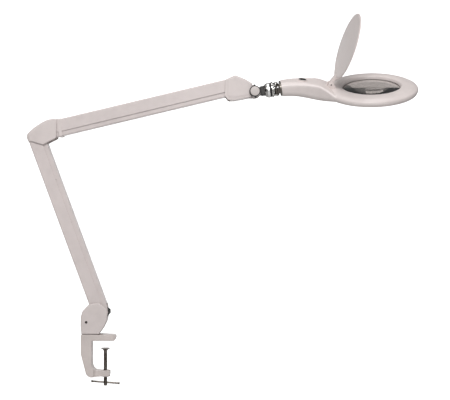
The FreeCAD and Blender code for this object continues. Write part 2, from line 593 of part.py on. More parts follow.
pan_pin = pan_pin.fuse(Part.makeCylinder(4.2, 1.9, V(PAN_AT, 0, -14.95), V(0, 0, 1))).removeSplitter()
save("pan_pin", placed(pan_pin, yoke_place))

# lug on the pan pin with the collar that closes the handle
lug = Part.makeCylinder(4.6, 19.6, V(PAN_AT, 0, -9.8), V(0, 0, 1))
lug = lug.cut(box(PAN_AT - 6, -6, 1.5, PAN_AT + 6, 6, 6.0))
lug = lug.fuse(box(PAN_AT, -3.6, -9.8, HANDLE_AT, 3.6, 1.5)).fuse(box(PAN_AT, -3.6, 6.0, HANDLE_AT, 3.6, 9.8))
lug = lug.fuse(box(PAN_AT + 4.0, -3.6, -9.8, HANDLE_AT, 3.6, 9.8))
collar = Part.Face(rounded([(-18.6, -14.6), (18.6, -14.6), (18.6, 14.6), (-18.6, 14.6)], 12.2, lambda p, q: V(HANDLE_AT - 3.4, p, q))).extrude(V(3.3, 0, 0))
stub = Part.Face(rounded([(-14.5, -10.5), (14.5, -10.5), (14.5, 10.5), (-14.5, 10.5)], 8.5, lambda p, q: V(HANDLE_AT - 0.2, p, q))).extrude(V(12.0, 0, 0))
lug = lug.fuse(collar).fuse(stub)
lug = lug.cut(Part.makeCylinder(2.56, 40, V(PAN_AT, 0, -20), V(0, 0, 1)))
lug = lug.cut(Part.makeCylinder(3.0, 20, V(HANDLE_AT - 3.0, 0, -5.5), V(1, 0, 0)))
save("handle_fitting", placed(lug.removeSplitter(), yoke_place))

# ---------------------------------------------------------------------- head
# local frame: origin at the lens centre, x along the handle towards the tip,
# z out of the top of the lens
E3 = T3 + R_S.multVec(V(HANDLE_AT, 0, 0))
C3 = E3 - R_H.multVec(V(HANDLE_END, 0, HANDLE_RISE))
head_place = FreeCAD.Placement(C3, R_H)

# x, height of the centre, half width, half height, corner radius
SECTIONS = [
    (-196.5, 13.6, 19.3, 15.4, 13.0),
    (-178.0, 15.4, 21.3, 16.7, 13.5),
    (-160.0, 15.0, 22.6, 17.6, 13.8),
    (-143.0, 12.0, 23.8, 17.2, 13.6),
    (-127.0, 7.9, 26.0, 16.2, 13.0),
    (-111.0, 4.5, 30.0, 14.8, 12.4),
    (-96.0, 1.9, 36.0, 12.9, 11.4),
    (-82.0, 0.4, 42.0, 10.9, 9.8),
    (-67.0, 0.0, 43.0, 7.0, 6.6),
]


def handle(d, first, last):
    wires = []
    for x, zc, w, h, r in SECTIONS[first:last]:
        pts = [(-w + d, -h + d), (w - d, -h + d), (w - d, h - d), (-w + d, h - d)]
        wires.append(rounded(pts, r - d, lambda p, q, x=x, zc=zc: V(x, p, zc + q)))
    return wires


outer_h = Part.makeLoft(handle(0, 0, None), True, False)
inner_wires = handle(2.0, 0, None)
inner_h = Part.makeLoft(inner_wires, True, False)
ring_o = revolved([(OPEN_R, -9.6), (OPEN_R, 3.6), (67.2, 9.4), (74.0, 10.2), (90.0, 8.0), (98.6, 3.4), (100.0, -1.5), (96.5, -7.6),
                   (88.0, -9.6)], [0, 0.6, 1, 8, 20, 4, 3, 4, 5])
ring_i = revolved([(66.0, -7.6), (66.0, 7.0), (74.0, 8.1), (89.5, 5.9), (96.8, 2.0), (97.8, -1.8), (94.8, -6.0), (88.0, -7.6)],
                  [0, 0.5, 4, 10, 3, 2, 2, 2])
total = ring_o.fuse(outer_h)
cavity = ring_i.fuse(inner_h)
shell = total.cut(cavity)
# seat of the lens, from below
shell = shell.cut(revolved([(40, -12), (LENS_R + 0.3, -12), (LENS_R + 0.3, 2.2), (40, 2.2)]).common(
    Part.makeCylinder(LENS_R + 0.3, 30, V(0, 0, -20), V(0, 0, 1))))
# parting surface follows the middle of the handle
split = [(-260, 9.0), (-194, 13.0), (-178, 14.4), (-160, 14.2), (-143, 11.2), (-127, 6.6), (-111, 2.9), (-98, 0.2), (-88, -1.0), (160, -1.0)]


def half_space(sign):
    pts = list(split) + [(160, sign * 60.0), (-260, sign * 60.0)]
    w = rounded(pts, 0, lambda p, q: V(p, -130, q))
    return Part.Face(w).extrude(V(0, 260, 0))


# the barrel round the lens belongs to the upper shell, the diffuser fills the gap below
barrel_zone = Part.makeCylinder(68.9, 40, V(0, 0, -20), V(0, 0, 1))
upper = shell.common(half_space(1).fuse(barrel_zone))
lower = shell.common(half_space(-1)).cut(barrel_zone)
lower = lower.cut(revolved([(68.0, -12), (87.5, -12), (87.5, -6), (68.0, -6)]))
# the handle end is closed by the fitting
end_cut = Part.Face(rounded([(-14.7, -10.7), (14.7, -10.7), (14.7, 10.7), (-14.7, 10.7)], 8.7, lambda p, q: V(HANDLE_AT - 6, p, q))).extrude(V(20.0, 0, 0))
end_local = placed(placed(end_cut, yoke_place), head_place.inverse())
flat_end = placed(placed(box(HANDLE_AT - 30, -60, -60, HANDLE_AT + 0.05, 60, 60), yoke_place), head_place.inverse())
upper = upper.cut(end_local).cut(flat_end)
lower = lower.cut(end_local).cut(flat_end)
# bosses for the two screws under the handle
HEAD_SCREWS = ((-128.0, -14.0), (-128.0, 14.0))
for x, y in HEAD_SCREWS:
    lower = lower.fuse(cyl(x, y, -7.4, 3.6, 11.4))
    lower = lower.cut(cyl(x, y, -14.0, 2.8, 10.05)).cut(cyl(x, y, -10.0, 1.5, 24.0))
# switch hole in the top of the handle
def top_at(x):
    for a, b in zip(SECTIONS, SECTIONS[1:]):
        if a[0] <= x <= b[0]:
            t = (x - a[0]) / (b[0] - a[0])
            return (a[1] + a[3]) * (1 - t) + (b[1] + b[3]) * t


sw_top = top_at(SWITCH_X)
sw_dir = V(0.16, 0, 1.0)
sw_dir.normalize()
sw_base = V(SWITCH_X, 0, sw_top) - sw_dir * 8.0
upper = upper.cut(Part.makeCylinder(SWITCH_R + 0.3, 20.0, sw_base, sw_dir))
# ears for the lid hinge
hx, hz = LID_HINGE
for y0 in (-9.2, 6.6):
    e = Part.Face(rounded([(hx - 9.5, 11.0), (hx + 9.0, 8.4), (hx + 3.6, hz + 3.6), (hx - 3.6, hz + 3.6)], [0, 0, 3.3, 3.3],
                          lambda p, q: V(p, y0, q))).extrude(V(0, 2.6, 0))
    upper = upper.fuse(e)
upper = upper.cut(Part.makeCylinder(1.5, 30, V(hx, -15, hz), V(0, 1, 0)))
upper = upper.removeSplitter()
lower = lower.removeSplitter()
save("head_upper_shell", placed(max(upper.Solids, key=lambda s: s.Volume), head_place))
save("head_lower_shell", placed(max(lower.Solids, key=lambda s: s.Volume), head_place))

# biconvex lens, flat rim 3 mm thick
SAG = 6.2
rad = (LENS_R ** 2 + SAG ** 2) / (2 * SAG)
lens_w = Part.Wire([
    Part.makeLine(V(0, 0, -1.5 - SAG), V(0, 0, 1.5 + SAG)),
    Part.Arc(V(0, 0, 1.5 + SAG), V(LENS_R / 2, 0, 1.5 + SAG - rad + math.sqrt(rad ** 2 - LENS_R ** 2 / 4)), V(LENS_R, 0, 1.5)).toShape(),
    Part.makeLine(V(LENS_R, 0, 1.5), V(LENS_R, 0, -1.5)),
    Part.Arc(V(LENS_R, 0, -1.5), V(LENS_R / 2, 0, -1.5 - SAG + rad - math.sqrt(rad ** 2 - LENS_R ** 2 / 4)), V(0, 0, -1.5 - SAG)).toShape(),
])
save("magnifier_lens", placed(Part.Face(lens_w).revolve(V(0, 0, 0), V(0, 0, 1), 360), head_place))
retainer = revolved([(60.6, -6.4), (63.6, -6.4), (63.6, -2.2), (60.6, -2.2)], [0.8, 0.4, 0.4, 0.8])
save("lens_retainer", placed(retainer, head_place))
# lamp: ring board with light emitters and a diffuser below it, driver in the handle
board = revolved([(70.5, -2.9), (88.5, -2.9), (88.5, -1.3), (70.5, -1.3)])
save("led_board", placed(board, head_place))
chips = []
for i in range(30):
    a = 2 * math.pi * i / 30
    c = box(-1.4, -1.75, -3.9, 1.4, 1.75, -2.9)
    c.Placement = FreeCAD.Placement(V(79.5 * math.cos(a), 79.5 * math.sin(a), 0), rot(V(0, 0, 1), math.degrees(a)))
    chips.append(c)
save("led_chips", placed(Part.makeCompound(chips), head_place))
diffuser = revolved([(69.1, -9.6), (87.3, -9.6), (87.3, -7.1), (89.2, -7.1), (89.2, -6.0), (67.2, -6.0), (67.2, -7.1), (69.1, -7.1)])
save("led_diffuser", placed(diffuser, head_place))
driver = box(-176, -12, 6.2, -136, 12, 7.8).fuse(box(-172, -9, 7.8, -158, 9, 15.0)).fuse(box(-155, -7, 7.8, -141, 7, 18.0))
save("driver_board", placed(driver.removeSplitter(), head_place))
hs = [cyl(x, y, -5.6, 2.6, 1.6).fuse(cyl(x, y, -4.0, 1.4, 9.0)).removeSplitter() for x, y in HEAD_SCREWS]
save("head_screws", placed(Part.makeCompound(hs), head_place))

# push switch, 1.6 mm of travel
btn = Part.makeCylinder(SWITCH_R, 7.6, V(SWITCH_X, 0, sw_top) - sw_dir * 6.0, sw_dir)
save("switch_button", placed(btn, head_place))

# ----------------------------------------------------------------------- lid
# domed disc over the lens, drawn closed and then opened about its hinge
lid = revolved([(0, 13.4), (36, 13.0), (62, 12.0), (LID_R - 7, 11.2), (LID_R - 0.5, 11.2), (LID_R, 11.8), (LID_R - 1.4, 13.2), (62, 14.4), (36, 15.5), (0, 15.9)],
               [0, 60, 10, 1, 0.3, 0.5, 1.6, 30, 60, 0], LID_C)
tab = Part.Face(rounded([(hx, hz - 3.0), (hx + 19, 12.0), (hx + 21, 13.8), (hx + 8, hz + 0.4), (hx, hz + 3.4)], 0, lambda p, q: V(p, -6.3, q))).extrude(V(0, 12.6, 0))
barrel = Part.makeCylinder(3.8, 12.6, V(hx, -6.3, hz), V(0, 1, 0))
lid = lid.fuse(tab).fuse(barrel)
lid = lid.cut(Part.makeCylinder(1.56, 30, V(hx, -15, hz), V(0, 1, 0))).removeSplitter()
open_place = FreeCAD.Placement(V(0, 0, 0), rot(V(0, 1, 0), -LID_OPEN), V(hx, 0, hz))
save("lens_lid", placed(placed(lid, open_place), head_place))
save("lid_hinge_pin", placed(Part.makeCylinder(1.5, 18.4, V(hx, -9.2, hz), V(0, 1, 0)), head_place))

for k in sorted(volumes):
    print(k, volumes[k][0], round(volumes[k][1]))
print(len(volumes), "nodes")
print("P2", P2, "Q2", Q2, "P4", P4, "Q4", Q4)
print("lens centre", C3, "pan", T3 + R_S.multVec(V(PAN_AT, 0, 0)), "handle end", E3)
print("swivel axis", R_S.multVec(V(1, 0, 0)), "pan axis", R_S.multVec(V(0, 0, 1)))
print("lid axis", R_H.multVec(V(0, 1, 0)), "lid hinge", head_place.multVec(V(hx, 0, hz)))
print("switch axis", R_H.multVec(sw_dir), "bar axis", bar_dir)
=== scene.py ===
import bpy
import bmesh
import math
from mathutils import Vector, Matrix, Quaternion


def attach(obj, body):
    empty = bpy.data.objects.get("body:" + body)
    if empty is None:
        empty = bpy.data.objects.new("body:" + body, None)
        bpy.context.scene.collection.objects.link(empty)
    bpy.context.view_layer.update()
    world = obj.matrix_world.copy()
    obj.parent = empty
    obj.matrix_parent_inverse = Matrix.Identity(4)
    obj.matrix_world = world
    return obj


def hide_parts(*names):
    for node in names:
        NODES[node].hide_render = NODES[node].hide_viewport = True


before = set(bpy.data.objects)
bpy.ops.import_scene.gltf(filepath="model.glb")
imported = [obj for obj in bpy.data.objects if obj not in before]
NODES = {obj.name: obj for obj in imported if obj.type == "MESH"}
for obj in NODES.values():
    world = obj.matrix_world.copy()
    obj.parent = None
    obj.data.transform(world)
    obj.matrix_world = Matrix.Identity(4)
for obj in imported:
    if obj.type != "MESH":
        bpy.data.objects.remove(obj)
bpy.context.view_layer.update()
scene = bpy.context.scene
MM = 0.001


# ------------------------------------------------------------------ materials
def mat(name):
    m = bpy.data.materials.new(name)
    m.use_nodes = True
    nt = m.node_tree
    b = nt.nodes["Principled BSDF"]
    return m, nt, b


def node(nt, kind, **values):
    n = nt.nodes.new(kind)
    for k, v in values.items():
        setattr(n, k, v)
    return n


def coords(nt, scale=(1, 1, 1), rot=(0, 0, 0)):
    """Object coordinates, optionally turned and stretched."""
    tc = node(nt, "ShaderNodeTexCoord")
    mp = node(nt, "ShaderNodeMapping")
    mp.inputs["Scale"].default_value = scale
    mp.inputs["Rotation"].default_value = rot
    nt.links.new(tc.outputs["Object"], mp.inputs["Vector"])
    return mp.outputs["Vector"]


def noise(nt, vec, scale, detail=3.0, rough=0.5):
    n = node(nt, "ShaderNodeTexNoise")
    n.inputs["Scale"].default_value = scale
    n.inputs["Detail"].default_value = detail
    n.inputs["Roughness"].default_value = rough
    nt.links.new(vec, n.inputs["Vector"])
    return n.outputs["Fac"]


def ramp(nt, fac, stops):
    r = node(nt, "ShaderNodeValToRGB")
    el = r.color_ramp.elements
    while len(el) < len(stops):
        el.new(0.5)
    for e, (p, c) in zip(el, stops):
        e.position = p
        e.color = (*c, 1) if len(c) == 3 else c
    nt.links.new(fac, r.inputs["Fac"])
    return r.outputs["Color"]


def span(nt, fac, lo, hi, a=0.35, b=0.65):
    m = node(nt, "ShaderNodeMapRange")
    m.inputs["From Min"].default_value = a
    m.inputs["From Max"].default_value = b
    m.inputs["To Min"].default_value = lo
    m.inputs["To Max"].default_value = hi
    nt.links.new(fac, m.inputs["Value"])
    return m.outputs["Result"]


def bump(nt, heights, target):
    """heights: list of (socket, distance in metres, strength)."""
    prev = None
    for h, dist, strength in heights:
        b = node(nt, "ShaderNodeBump")
        b.inputs["Strength"].default_value = strength
        b.inputs["Distance"].default_value = dist
        nt.links.new(h, b.inputs["Height"])
        if prev is not None:
            nt.links.new(prev, b.inputs["Normal"])
        prev = b.outputs["Normal"]
    nt.links.new(prev, target.inputs["Normal"])


def mul(c, f):
    return tuple(min(1.0, x * f) for x in c)


def white_finish(name, color, rough=(0.36, 0.46), grain=900.0, grain_d=0.00006, peel=260.0, peel_d=0.0001, coat=0.0,
                 dust=0.05, spec=0.5):
    """Painted or moulded off-white: faint mottling with random darker and lighter patches set by dust, and fine
    grain.
    """
    m, nt, b = mat(name)
    v = coords(nt)
    big = noise(nt, v, 14.0, 4.0, 0.6)
    mid = noise(nt, v, 75.0, 3.0, 0.55)
    mix = node(nt, "ShaderNodeMath", operation="MULTIPLY_ADD")
    nt.links.new(mid, mix.inputs[0])
    mix.inputs[1].default_value = 0.45
    nt.links.new(big, mix.inputs[2])
    col = ramp(nt, mix.outputs[0], [(0.52, mul(color, 1.0 - dust)), (0.72, color), (0.92, mul(color, 1.0 + dust * 0.6))])
    nt.links.new(col, b.inputs["Base Color"])
    nt.links.new(span(nt, mid, rough[0], rough[1]), b.inputs["Roughness"])
    b.inputs["Specular IOR Level"].default_value = spec
    if coat:
        b.inputs["Coat Weight"].default_value = coat
        b.inputs["Coat Roughness"].default_value = 0.18
    bump(nt, [(noise(nt, v, peel, 2.0, 0.5), peel_d, 0.35), (noise(nt, v, grain, 2.0, 0.6), grain_d, 0.5)], b)
    return m


def metal(name, color, rough=(0.2, 0.32), axis_rot=(0, 0, 0), stretch=(2400.0, 40.0, 40.0), line_d=0.00002, tint=None,
          metallic=1.0):
    """Metal with fine machining lines across one local axis and uneven tarnish."""
    m, nt, b = mat(name)
    v = coords(nt)
    lines_v = coords(nt, scale=stretch, rot=axis_rot)
    lines = noise(nt, lines_v, 1.0, 2.0, 0.5)
    cloud = noise(nt, v, 120.0, 4.0, 0.6)
    stops = [(0.35, mul(color, 0.86)), (0.6, color), (0.8, mul(color, 1.08))]
    if tint:
        stops[0] = (0.33, tint)
    nt.links.new(ramp(nt, cloud, stops), b.inputs["Base Color"])
    b.inputs["Metallic"].default_value = metallic
    add = node(nt, "ShaderNodeMath", operation="MULTIPLY_ADD")
    nt.links.new(lines, add.inputs[0])
    add.inputs[1].default_value = 0.5
    nt.links.new(cloud, add.inputs[2])
    nt.links.new(span(nt, add.outputs[0], rough[0], rough[1], 0.5, 1.0), b.inputs["Roughness"])
    bump(nt, [(lines, line_d, 0.35)], b)
    return m


def black(name, color=(0.018, 0.016, 0.015), rough=(0.34, 0.52), grain=1400.0, grain_d=0.00005):
    m, nt, b = mat(name)
    v = coords(nt)
    cloud = noise(nt, v, 90.0, 4.0, 0.6)
    nt.links.new(ramp(nt, cloud, [(0.35, mul(color, 0.8)), (0.6, color), (0.8, mul(color, 1.7))]), b.inputs["Base Color"])
    nt.links.new(span(nt, cloud, rough[0], rough[1]), b.inputs["Roughness"])
    bump(nt, [(noise(nt, v, grain, 2.0, 0.6), grain_d, 0.5)], b)
    return m


ARM_WHITE = (0.655, 0.585, 0.570)
COVER_WHITE = (0.650, 0.583, 0.566)
SHELL_WHITE = (0.700, 0.630, 0.610)
CLAMP_WHITE = (0.610, 0.545, 0.520)
S_PITCH = math.radians(8.5)

M_coated = white_finish("powder_coat_white", ARM_WHITE, rough=(0.34, 0.44), grain=1500.0, grain_d=0.00004, peel=420.0, peel_d=0.00012)
M_cover = white_finish("moulded_cover_white", COVER_WHITE, rough=(0.40, 0.52), grain=2200.0, grain_d=0.00005, peel=500.0, peel_d=0.00005)
M_shell = white_finish("gloss_shell_white", SHELL_WHITE, rough=(0.30, 0.40), grain=1500.0, grain_d=0.000004, peel=120.0, peel_d=0.000008)
M_cast = white_finish("painted_casting", CLAMP_WHITE, rough=(0.36, 0.50), grain=900.0, grain_d=0.0001, peel=230.0, peel_d=0.00035, dust=0.08)
M_chrome = metal("chrome_turned", (0.56, 0.55, 0.535), rough=(0.14, 0.26), axis_rot=(0, S_PITCH, 0))
# Swivel ring: the same chrome as the flange and yoke, with a near-white colour that is painted highlight for the
# bright band it shows. The rougher satin finish is the ring's own.
M_ring_painted_highlight = metal("ring_satin_painted_highlight", (0.95, 0.945, 0.93), rough=(0.30, 0.40), axis_rot=(0, S_PITCH, 0))
M_chrome_plain = metal("chrome_plain", (0.46, 0.45, 0.435), rough=(0.10, 0.22), stretch=(300.0, 300.0, 300.0), line_d=0.00001)
M_fitting = metal("fitting_satin", (0.16, 0.145, 0.13), rough=(0.22, 0.36), stretch=(300.0, 300.0, 300.0), line_d=0.00001)
M_cap = white_finish("cap_speckled", (0.600, 0.550, 0.530), rough=(0.40, 0.52), grain=1500.0, grain_d=0.00008, peel=420.0, peel_d=0.00008, dust=0.12)
M_dark_steel = metal("blackened_steel", (0.235, 0.215, 0.195), rough=(0.28, 0.46), stretch=(60.0, 60.0, 1600.0), tint=(0.15, 0.12, 0.10))
M_zinc = metal("zinc_plate", (0.60, 0.60, 0.57), rough=(0.24, 0.4), stretch=(700.0, 700.0, 700.0), tint=(0.46, 0.47, 0.42))
M_spring = metal("spring_wire", (0.42, 0.41, 0.39), rough=(0.25, 0.4), stretch=(900.0, 900.0, 900.0))
M_black_steel = black("black_coated_steel", (0.022, 0.021, 0.02), rough=(0.4, 0.55), grain=1500.0)
M_black_plastic = black("black_plastic", (0.016, 0.014, 0.013), rough=(0.3, 0.46), grain=1800.0)
M_black_screw = black("black_oxide_screw", (0.03, 0.022, 0.018), rough=(0.3, 0.45), grain=2500.0)
M_rubber = black("black_rubber", (0.02, 0.02, 0.02), rough=(0.6, 0.75), grain=900.0, grain_d=0.0001)
M_nylon = white_finish("natural_nylon", (0.62, 0.58, 0.50), rough=(0.35, 0.5), grain=1200.0, grain_d=0.00003)
M_nylon.node_tree.nodes["Principled BSDF"].inputs["Subsurface Weight"].default_value = 0.2
M_nylon.node_tree.nodes["Principled BSDF"].inputs["Subsurface Radius"].default_value = (0.002, 0.0016, 0.001)


def lens_material():
    m, nt, b = mat("glass_with_painted_shade")
    v = coords(nt)
    # The dark base tint is painted shade: it stands in for the darker surroundings seen through the lens. The glass
    # itself is clear; the noise only varies the tint at random.
    nt.links.new(ramp(nt, noise(nt, v, 20.0, 3.0), [(0.35, (0.27, 0.24, 0.225)), (0.7, (0.325, 0.29, 0.275))]), b.inputs["Base Color"])
    b.inputs["Transmission Weight"].default_value = 1.0
    b.inputs["IOR"].default_value = 1.52
    smudge = noise(nt, v, 45.0, 5.0, 0.65)
    nt.links.new(span(nt, smudge, 0.0, 0.03, 0.45, 0.8), b.inputs["Roughness"])
    return m


def diffuser_material():
    m, nt, b = mat("frosted_diffuser")
    v = coords(nt)
    b.inputs["Base Color"].default_value = (0.86, 0.86, 0.84, 1)
    b.inputs["Transmission Weight"].default_value = 0.35
    b.inputs["IOR"].default_value = 1.49
    n = noise(nt, v, 1400.0, 2.0, 0.6)
    nt.links.new(span(nt, noise(nt, v, 60.0, 3.0), 0.5, 0.64), b.inputs["Roughness"])
    bump(nt, [(n, 0.00008, 0.6)], b)
    return m


def board_material(name, base, trace):
    m, nt, b = mat(name)
    v = coords(nt)
    w = node(nt, "ShaderNodeTexBrick")
    w.inputs["Scale"].default_value = 90.0
    w.inputs["Color1"].default_value = (*base, 1)
    w.inputs["Color2"].default_value = (*mul(base, 0.9), 1)
    w.inputs["Mortar"].default_value = (*trace, 1)
    w.inputs["Mortar Size"].default_value = 0.03
    nt.links.new(v, w.inputs["Vector"])
    nt.links.new(w.outputs["Color"], b.inputs["Base Color"])
    nt.links.new(span(nt, noise(nt, v, 300.0), 0.25, 0.4), b.inputs["Roughness"])
    return m


def led_material():
    m, nt, b = mat("led_phosphor")
    v = coords(nt)
    nt.links.new(ramp(nt, noise(nt, v, 900.0), [(0.3, (0.75, 0.55, 0.12)), (0.7, (0.85, 0.72, 0.25))]), b.inputs["Base Color"])
    nt.links.new(span(nt, noise(nt, v, 500.0), 0.2, 0.35), b.inputs["Roughness"])
    return m


M_lens = lens_material()
M_diffuser = diffuser_material()
M_board = board_material("led_board_mask", (0.72, 0.72, 0.69), (0.5, 0.5, 0.46))
M_driver = board_material("driver_board_mask", (0.02, 0.16, 0.07), (0.10, 0.30, 0.14))
M_led = led_material()

ASSIGN = {
    "clamp_body": M_cast, "clamp_pad": M_dark_steel, "clamp_screw": M_dark_steel, "clamp_tommy_bar": M_dark_steel,
    "base_bracket": M_black_steel, "base_cover_front": M_cover, "base_cover_rear": M_cover, "base_cover_screws": M_black_screw,
    "base_main_pin": M_zinc, "base_tie_pin": M_zinc, "base_spacers": M_nylon, "cable_gland": M_rubber,
    "lower_main_channel": M_coated, "lower_main_anchor": M_coated, "lower_springs": M_spring, "lower_tie_channel": M_coated,
    "lower_tie_anchor": M_zinc,
    "elbow_bracket": M_black_steel, "elbow_cover_front": M_cover, "elbow_cover_rear": M_cover, "elbow_cover_screws": M_black_screw,
    "elbow_main_pins": M_zinc, "elbow_tie_pins": M_zinc, "elbow_spacers": M_nylon,
    "upper_main_channel": M_coated, "upper_main_anchor": M_coated, "upper_springs": M_spring, "upper_arm_sleeve": M_cover,
    "upper_tie_channel": M_coated, "upper_tie_anchor": M_zinc,
    "head_knuckle_bracket": M_coated, "head_knuckle_cover_front": M_cover, "head_knuckle_cover_rear": M_cover,
    "head_knuckle_main_pin": M_zinc, "head_knuckle_tie_pin": M_zinc, "head_knuckle_spacers": M_nylon,
    "head_knuckle_screws": M_black_screw, "tilt_bolt": M_zinc, "tilt_knob": M_black_plastic, "tilt_knob_cap": M_cap,
    "neck_block": M_black_plastic, "swivel_flange": M_chrome, "yoke": M_chrome, "swivel_ring": M_ring_painted_highlight,
    "swivel_washer": M_black_plastic, "swivel_bolt": M_zinc, "pan_pin": M_chrome_plain,
    "handle_fitting": M_fitting, "head_upper_shell": M_shell, "head_lower_shell": M_shell, "magnifier_lens": M_lens,
    "lens_retainer": M_cover, "led_board": M_board, "led_chips": M_led, "led_diffuser": M_diffuser,
    "driver_board": M_driver, "head_screws": M_zinc, "lid_hinge_pin": M_black_screw, "switch_button": M_black_plastic,
    "lens_lid": M_shell,
}
for name, m in ASSIGN.items():
    o = NODES[name]
    o.data.materials.clear()
    o.data.materials.append(m)

# ------------------------------------------------------------------- modelling
# Pieces are modelled in millimetres and turned into metres when they are placed.
def rounded(pts, radii, n=5):
    """Polygon with an arc at each corner, always n + 1 points per corner."""
    m = len(pts)
    if not isinstance(radii, (list, tuple)):
        radii = [radii] * m
    out = []
    for i in range(m):
        p, a, b = Vector(pts[i]), Vector(pts[i - 1]), Vector(pts[(i + 1) % m])
        va, vb = (a - p), (b - p)
        la, lb = va.length, vb.length
        va, vb = va / la, vb / lb
        half = math.acos(max(-1.0, min(1.0, va.dot(vb)))) / 2
        r = radii[i]
        if half > math.radians(89.3) or r < 1e-4:
            e = 1e-4
            out += [tuple(p + va * e * (1 - 2 * k / n)) if k * 2 < n else tuple(p + vb * e * (2 * k / n - 1)) for k in range(n + 1)]
            continue
        t = min(r / math.tan(half), 0.48 * la, 0.48 * lb)
        r = t * math.tan(half)
        c = p + (va + vb).normalized() * (r / math.sin(half))
        s, e = p + va * t - c, p + vb * t - c
        ang = math.atan2(s.x * e.y - s.y * e.x, s.dot(e))
        for k in range(n + 1):
            q = ang * k / n
            out.append((c.x + s.x * math.cos(q) - s.y * math.sin(q), c.y + s.x * math.sin(q) + s.y * math.cos(q)))
    return out


def poly_area(pts):
    return sum(pts[i][0] * pts[(i + 1) % len(pts)][1] - pts[(i + 1) % len(pts)][0] * pts[i][1] for i in range(len(pts))) / 2


def inset(pts, d):
    """Polygon moved inwards; d is one number or one per edge (edge i runs from point i to i + 1)."""
    n = len(pts)
    if not isinstance(d, (list, tuple)):
        d = [d] * n
    sgn = 1.0 if poly_area(pts) > 0 else -1.0
    lines = []
    for i in range(n):
        a, b = pts[i], pts[(i + 1) % n]
        dx, dz = b[0] - a[0], b[1] - a[1]
        ln = math.hypot(dx, dz)
        lines.append((a[0] - dz / ln * sgn * d[i], a[1] + dx / ln * sgn * d[i], dx / ln, dz / ln))
    out = []
    for i in range(n):
        x1, z1, dx1, dz1 = lines[i - 1]
        x2, z2, dx2, dz2 = lines[i]
        det = dx1 * (-dz2) + dx2 * dz1
        if abs(det) < 1e-6:
            out.append((x2, z2))
            continue
        t = ((x2 - x1) * (-dz2) + dx2 * (z2 - z1)) / det
        out.append((x1 + dx1 * t, z1 + dz1 * t))
    return out


def corner_signs(pts):
    """+1 at convex corners and -1 at concave ones."""
    n, sgn = len(pts), 1.0 if poly_area(pts) > 0 else -1.0
    out = []
    for i in range(n):
        a, p, b = pts[i - 1], pts[i], pts[(i + 1) % n]
        cr = (p[0] - a[0]) * (b[1] - p[1]) - (p[1] - a[1]) * (b[0] - p[0])
        out.append(1 if cr * sgn > 0 else -1)
    return out


def loft(rings, cap=True, wrap=False):
    """Closed rings of the same length joined by quads."""
    n = len(rings[0])
    verts = [tuple(p) for r in rings for p in r]
    faces = []
    last = len(rings) if wrap else len(rings) - 1
    for i in range(last):
        a, b = i * n, ((i + 1) % len(rings)) * n
        for j in range(n):
            k = (j + 1) % n
            faces.append((a + j, a + k, b + k, b + j))
    if cap and not wrap:
        faces.append(tuple(range(n - 1, -1, -1)))
        faces.append(tuple(range(len(verts) - n, len(verts))))
    return verts, faces


def plate(outline, radii, prof, weights=None, rmin=0.05, corner=5):
    """Outline in X, Z lofted through (inset, weighted inset, y, least radius) steps."""
    rings = []
    signs = corner_signs(outline)
    for step in prof:
        d, dw, y = step[:3]
        rm = step[3] if len(step) > 3 else rmin
        w = weights or [1.0] * len(outline)
        dd = [d + dw * x for x in w]
        pts = inset(outline, dd)
        rr = []
        for i, r in enumerate(radii):
            di = (dd[i] + dd[i - 1]) / 2
            rr.append(max(r - di * signs[i], rm))
        rings.append([(x, y, z) for x, z in rounded(pts, rr, corner)])
    return loft(rings)


def prism(outline, radii, y0, y1, corner=5):
    """Outline in X, Z pushed along Y."""
    pts = rounded(outline, radii, corner)
    return loft([[(x, y0, z) for x, z in pts], [(x, y1, z) for x, z in pts]])


def prism_z(outline, radii, z0, z1, corner=5):
    """Outline in the local x, y plane pushed along local z."""
    pts = rounded(outline, radii, corner)
    return loft([[(x, y, z0) for x, y in pts], [(x, y, z1) for x, y in pts]])


def prism_x(outline, radii, x0, x1, corner=5):
    """Outline in the local y, z plane pushed along local x."""
    pts = rounded(outline, radii, corner)
    return loft([[(x0, y, z) for y, z in pts], [(x1, y, z) for y, z in pts]])


def box(x0, y0, z0, x1, y1, z1):
    return prism([(x0, z0), (x1, z0), (x1, z1), (x0, z1)], 0, y0, y1, 1)


def lathe(prof, n=64, axis="z", at=(0, 0, 0), closed=True):
    """Profile of (radius, height) turned about an axis through at."""
    rings = []
    for r, h in prof:
        ring = []
        for j in range(n):
            a = 2 * math.pi * j / n
            c, s = r * math.cos(a), r * math.sin(a)
            p = {"z": (c, s, h), "x": (h, c, s), "y": (s, h, c)}[axis]
            ring.append((p[0] + at[0], p[1] + at[1], p[2] + at[2]))
        rings.append(ring)
    verts, faces = loft(rings, cap=False, wrap=closed)
    return verts, faces


def cyl(r, h0, h1, axis="z", at=(0, 0, 0), n=48):
    return lathe([(0, h0), (r, h0), (r, h1), (0, h1)], n, axis, at, closed=False)


def moved(geo, m):
    return [tuple(m @ Vector(v)) for v in geo[0]], geo[1]


def to_mesh(geo, name="mesh"):
    me = bpy.data.meshes.new(name)
    me.from_pydata(geo[0], [], geo[1])
    tidy(me)
    return me


def tidy(me, dist=0.0008):
    bm = bmesh.new()
    bm.from_mesh(me)
    bmesh.ops.remove_doubles(bm, verts=bm.verts, dist=dist)
    bmesh.ops.dissolve_degenerate(bm, edges=bm.edges, dist=dist / 4)
    loose = [v for v in bm.verts if not v.link_faces]
    bmesh.ops.delete(bm, geom=loose, context="VERTS")
    bmesh.ops.recalc_face_normals(bm, faces=bm.faces)
    bm.to_mesh(me)
    bm.free()
    me.update()


def temp(geo, name="work"):
    o = bpy.data.objects.new(name, to_mesh(geo, name))
    scene.collection.objects.link(o)
    return o


def bake(o):
    """Applies the modifiers."""
    bpy.context.view_layer.update()
    dg = bpy.context.evaluated_depsgraph_get()
    new = bpy.data.meshes.new_from_object(o.evaluated_get(dg))
    old = o.data
    o.modifiers.clear()
    o.data = new
    bpy.data.meshes.remove(old)
    tidy(o.data)
    return o


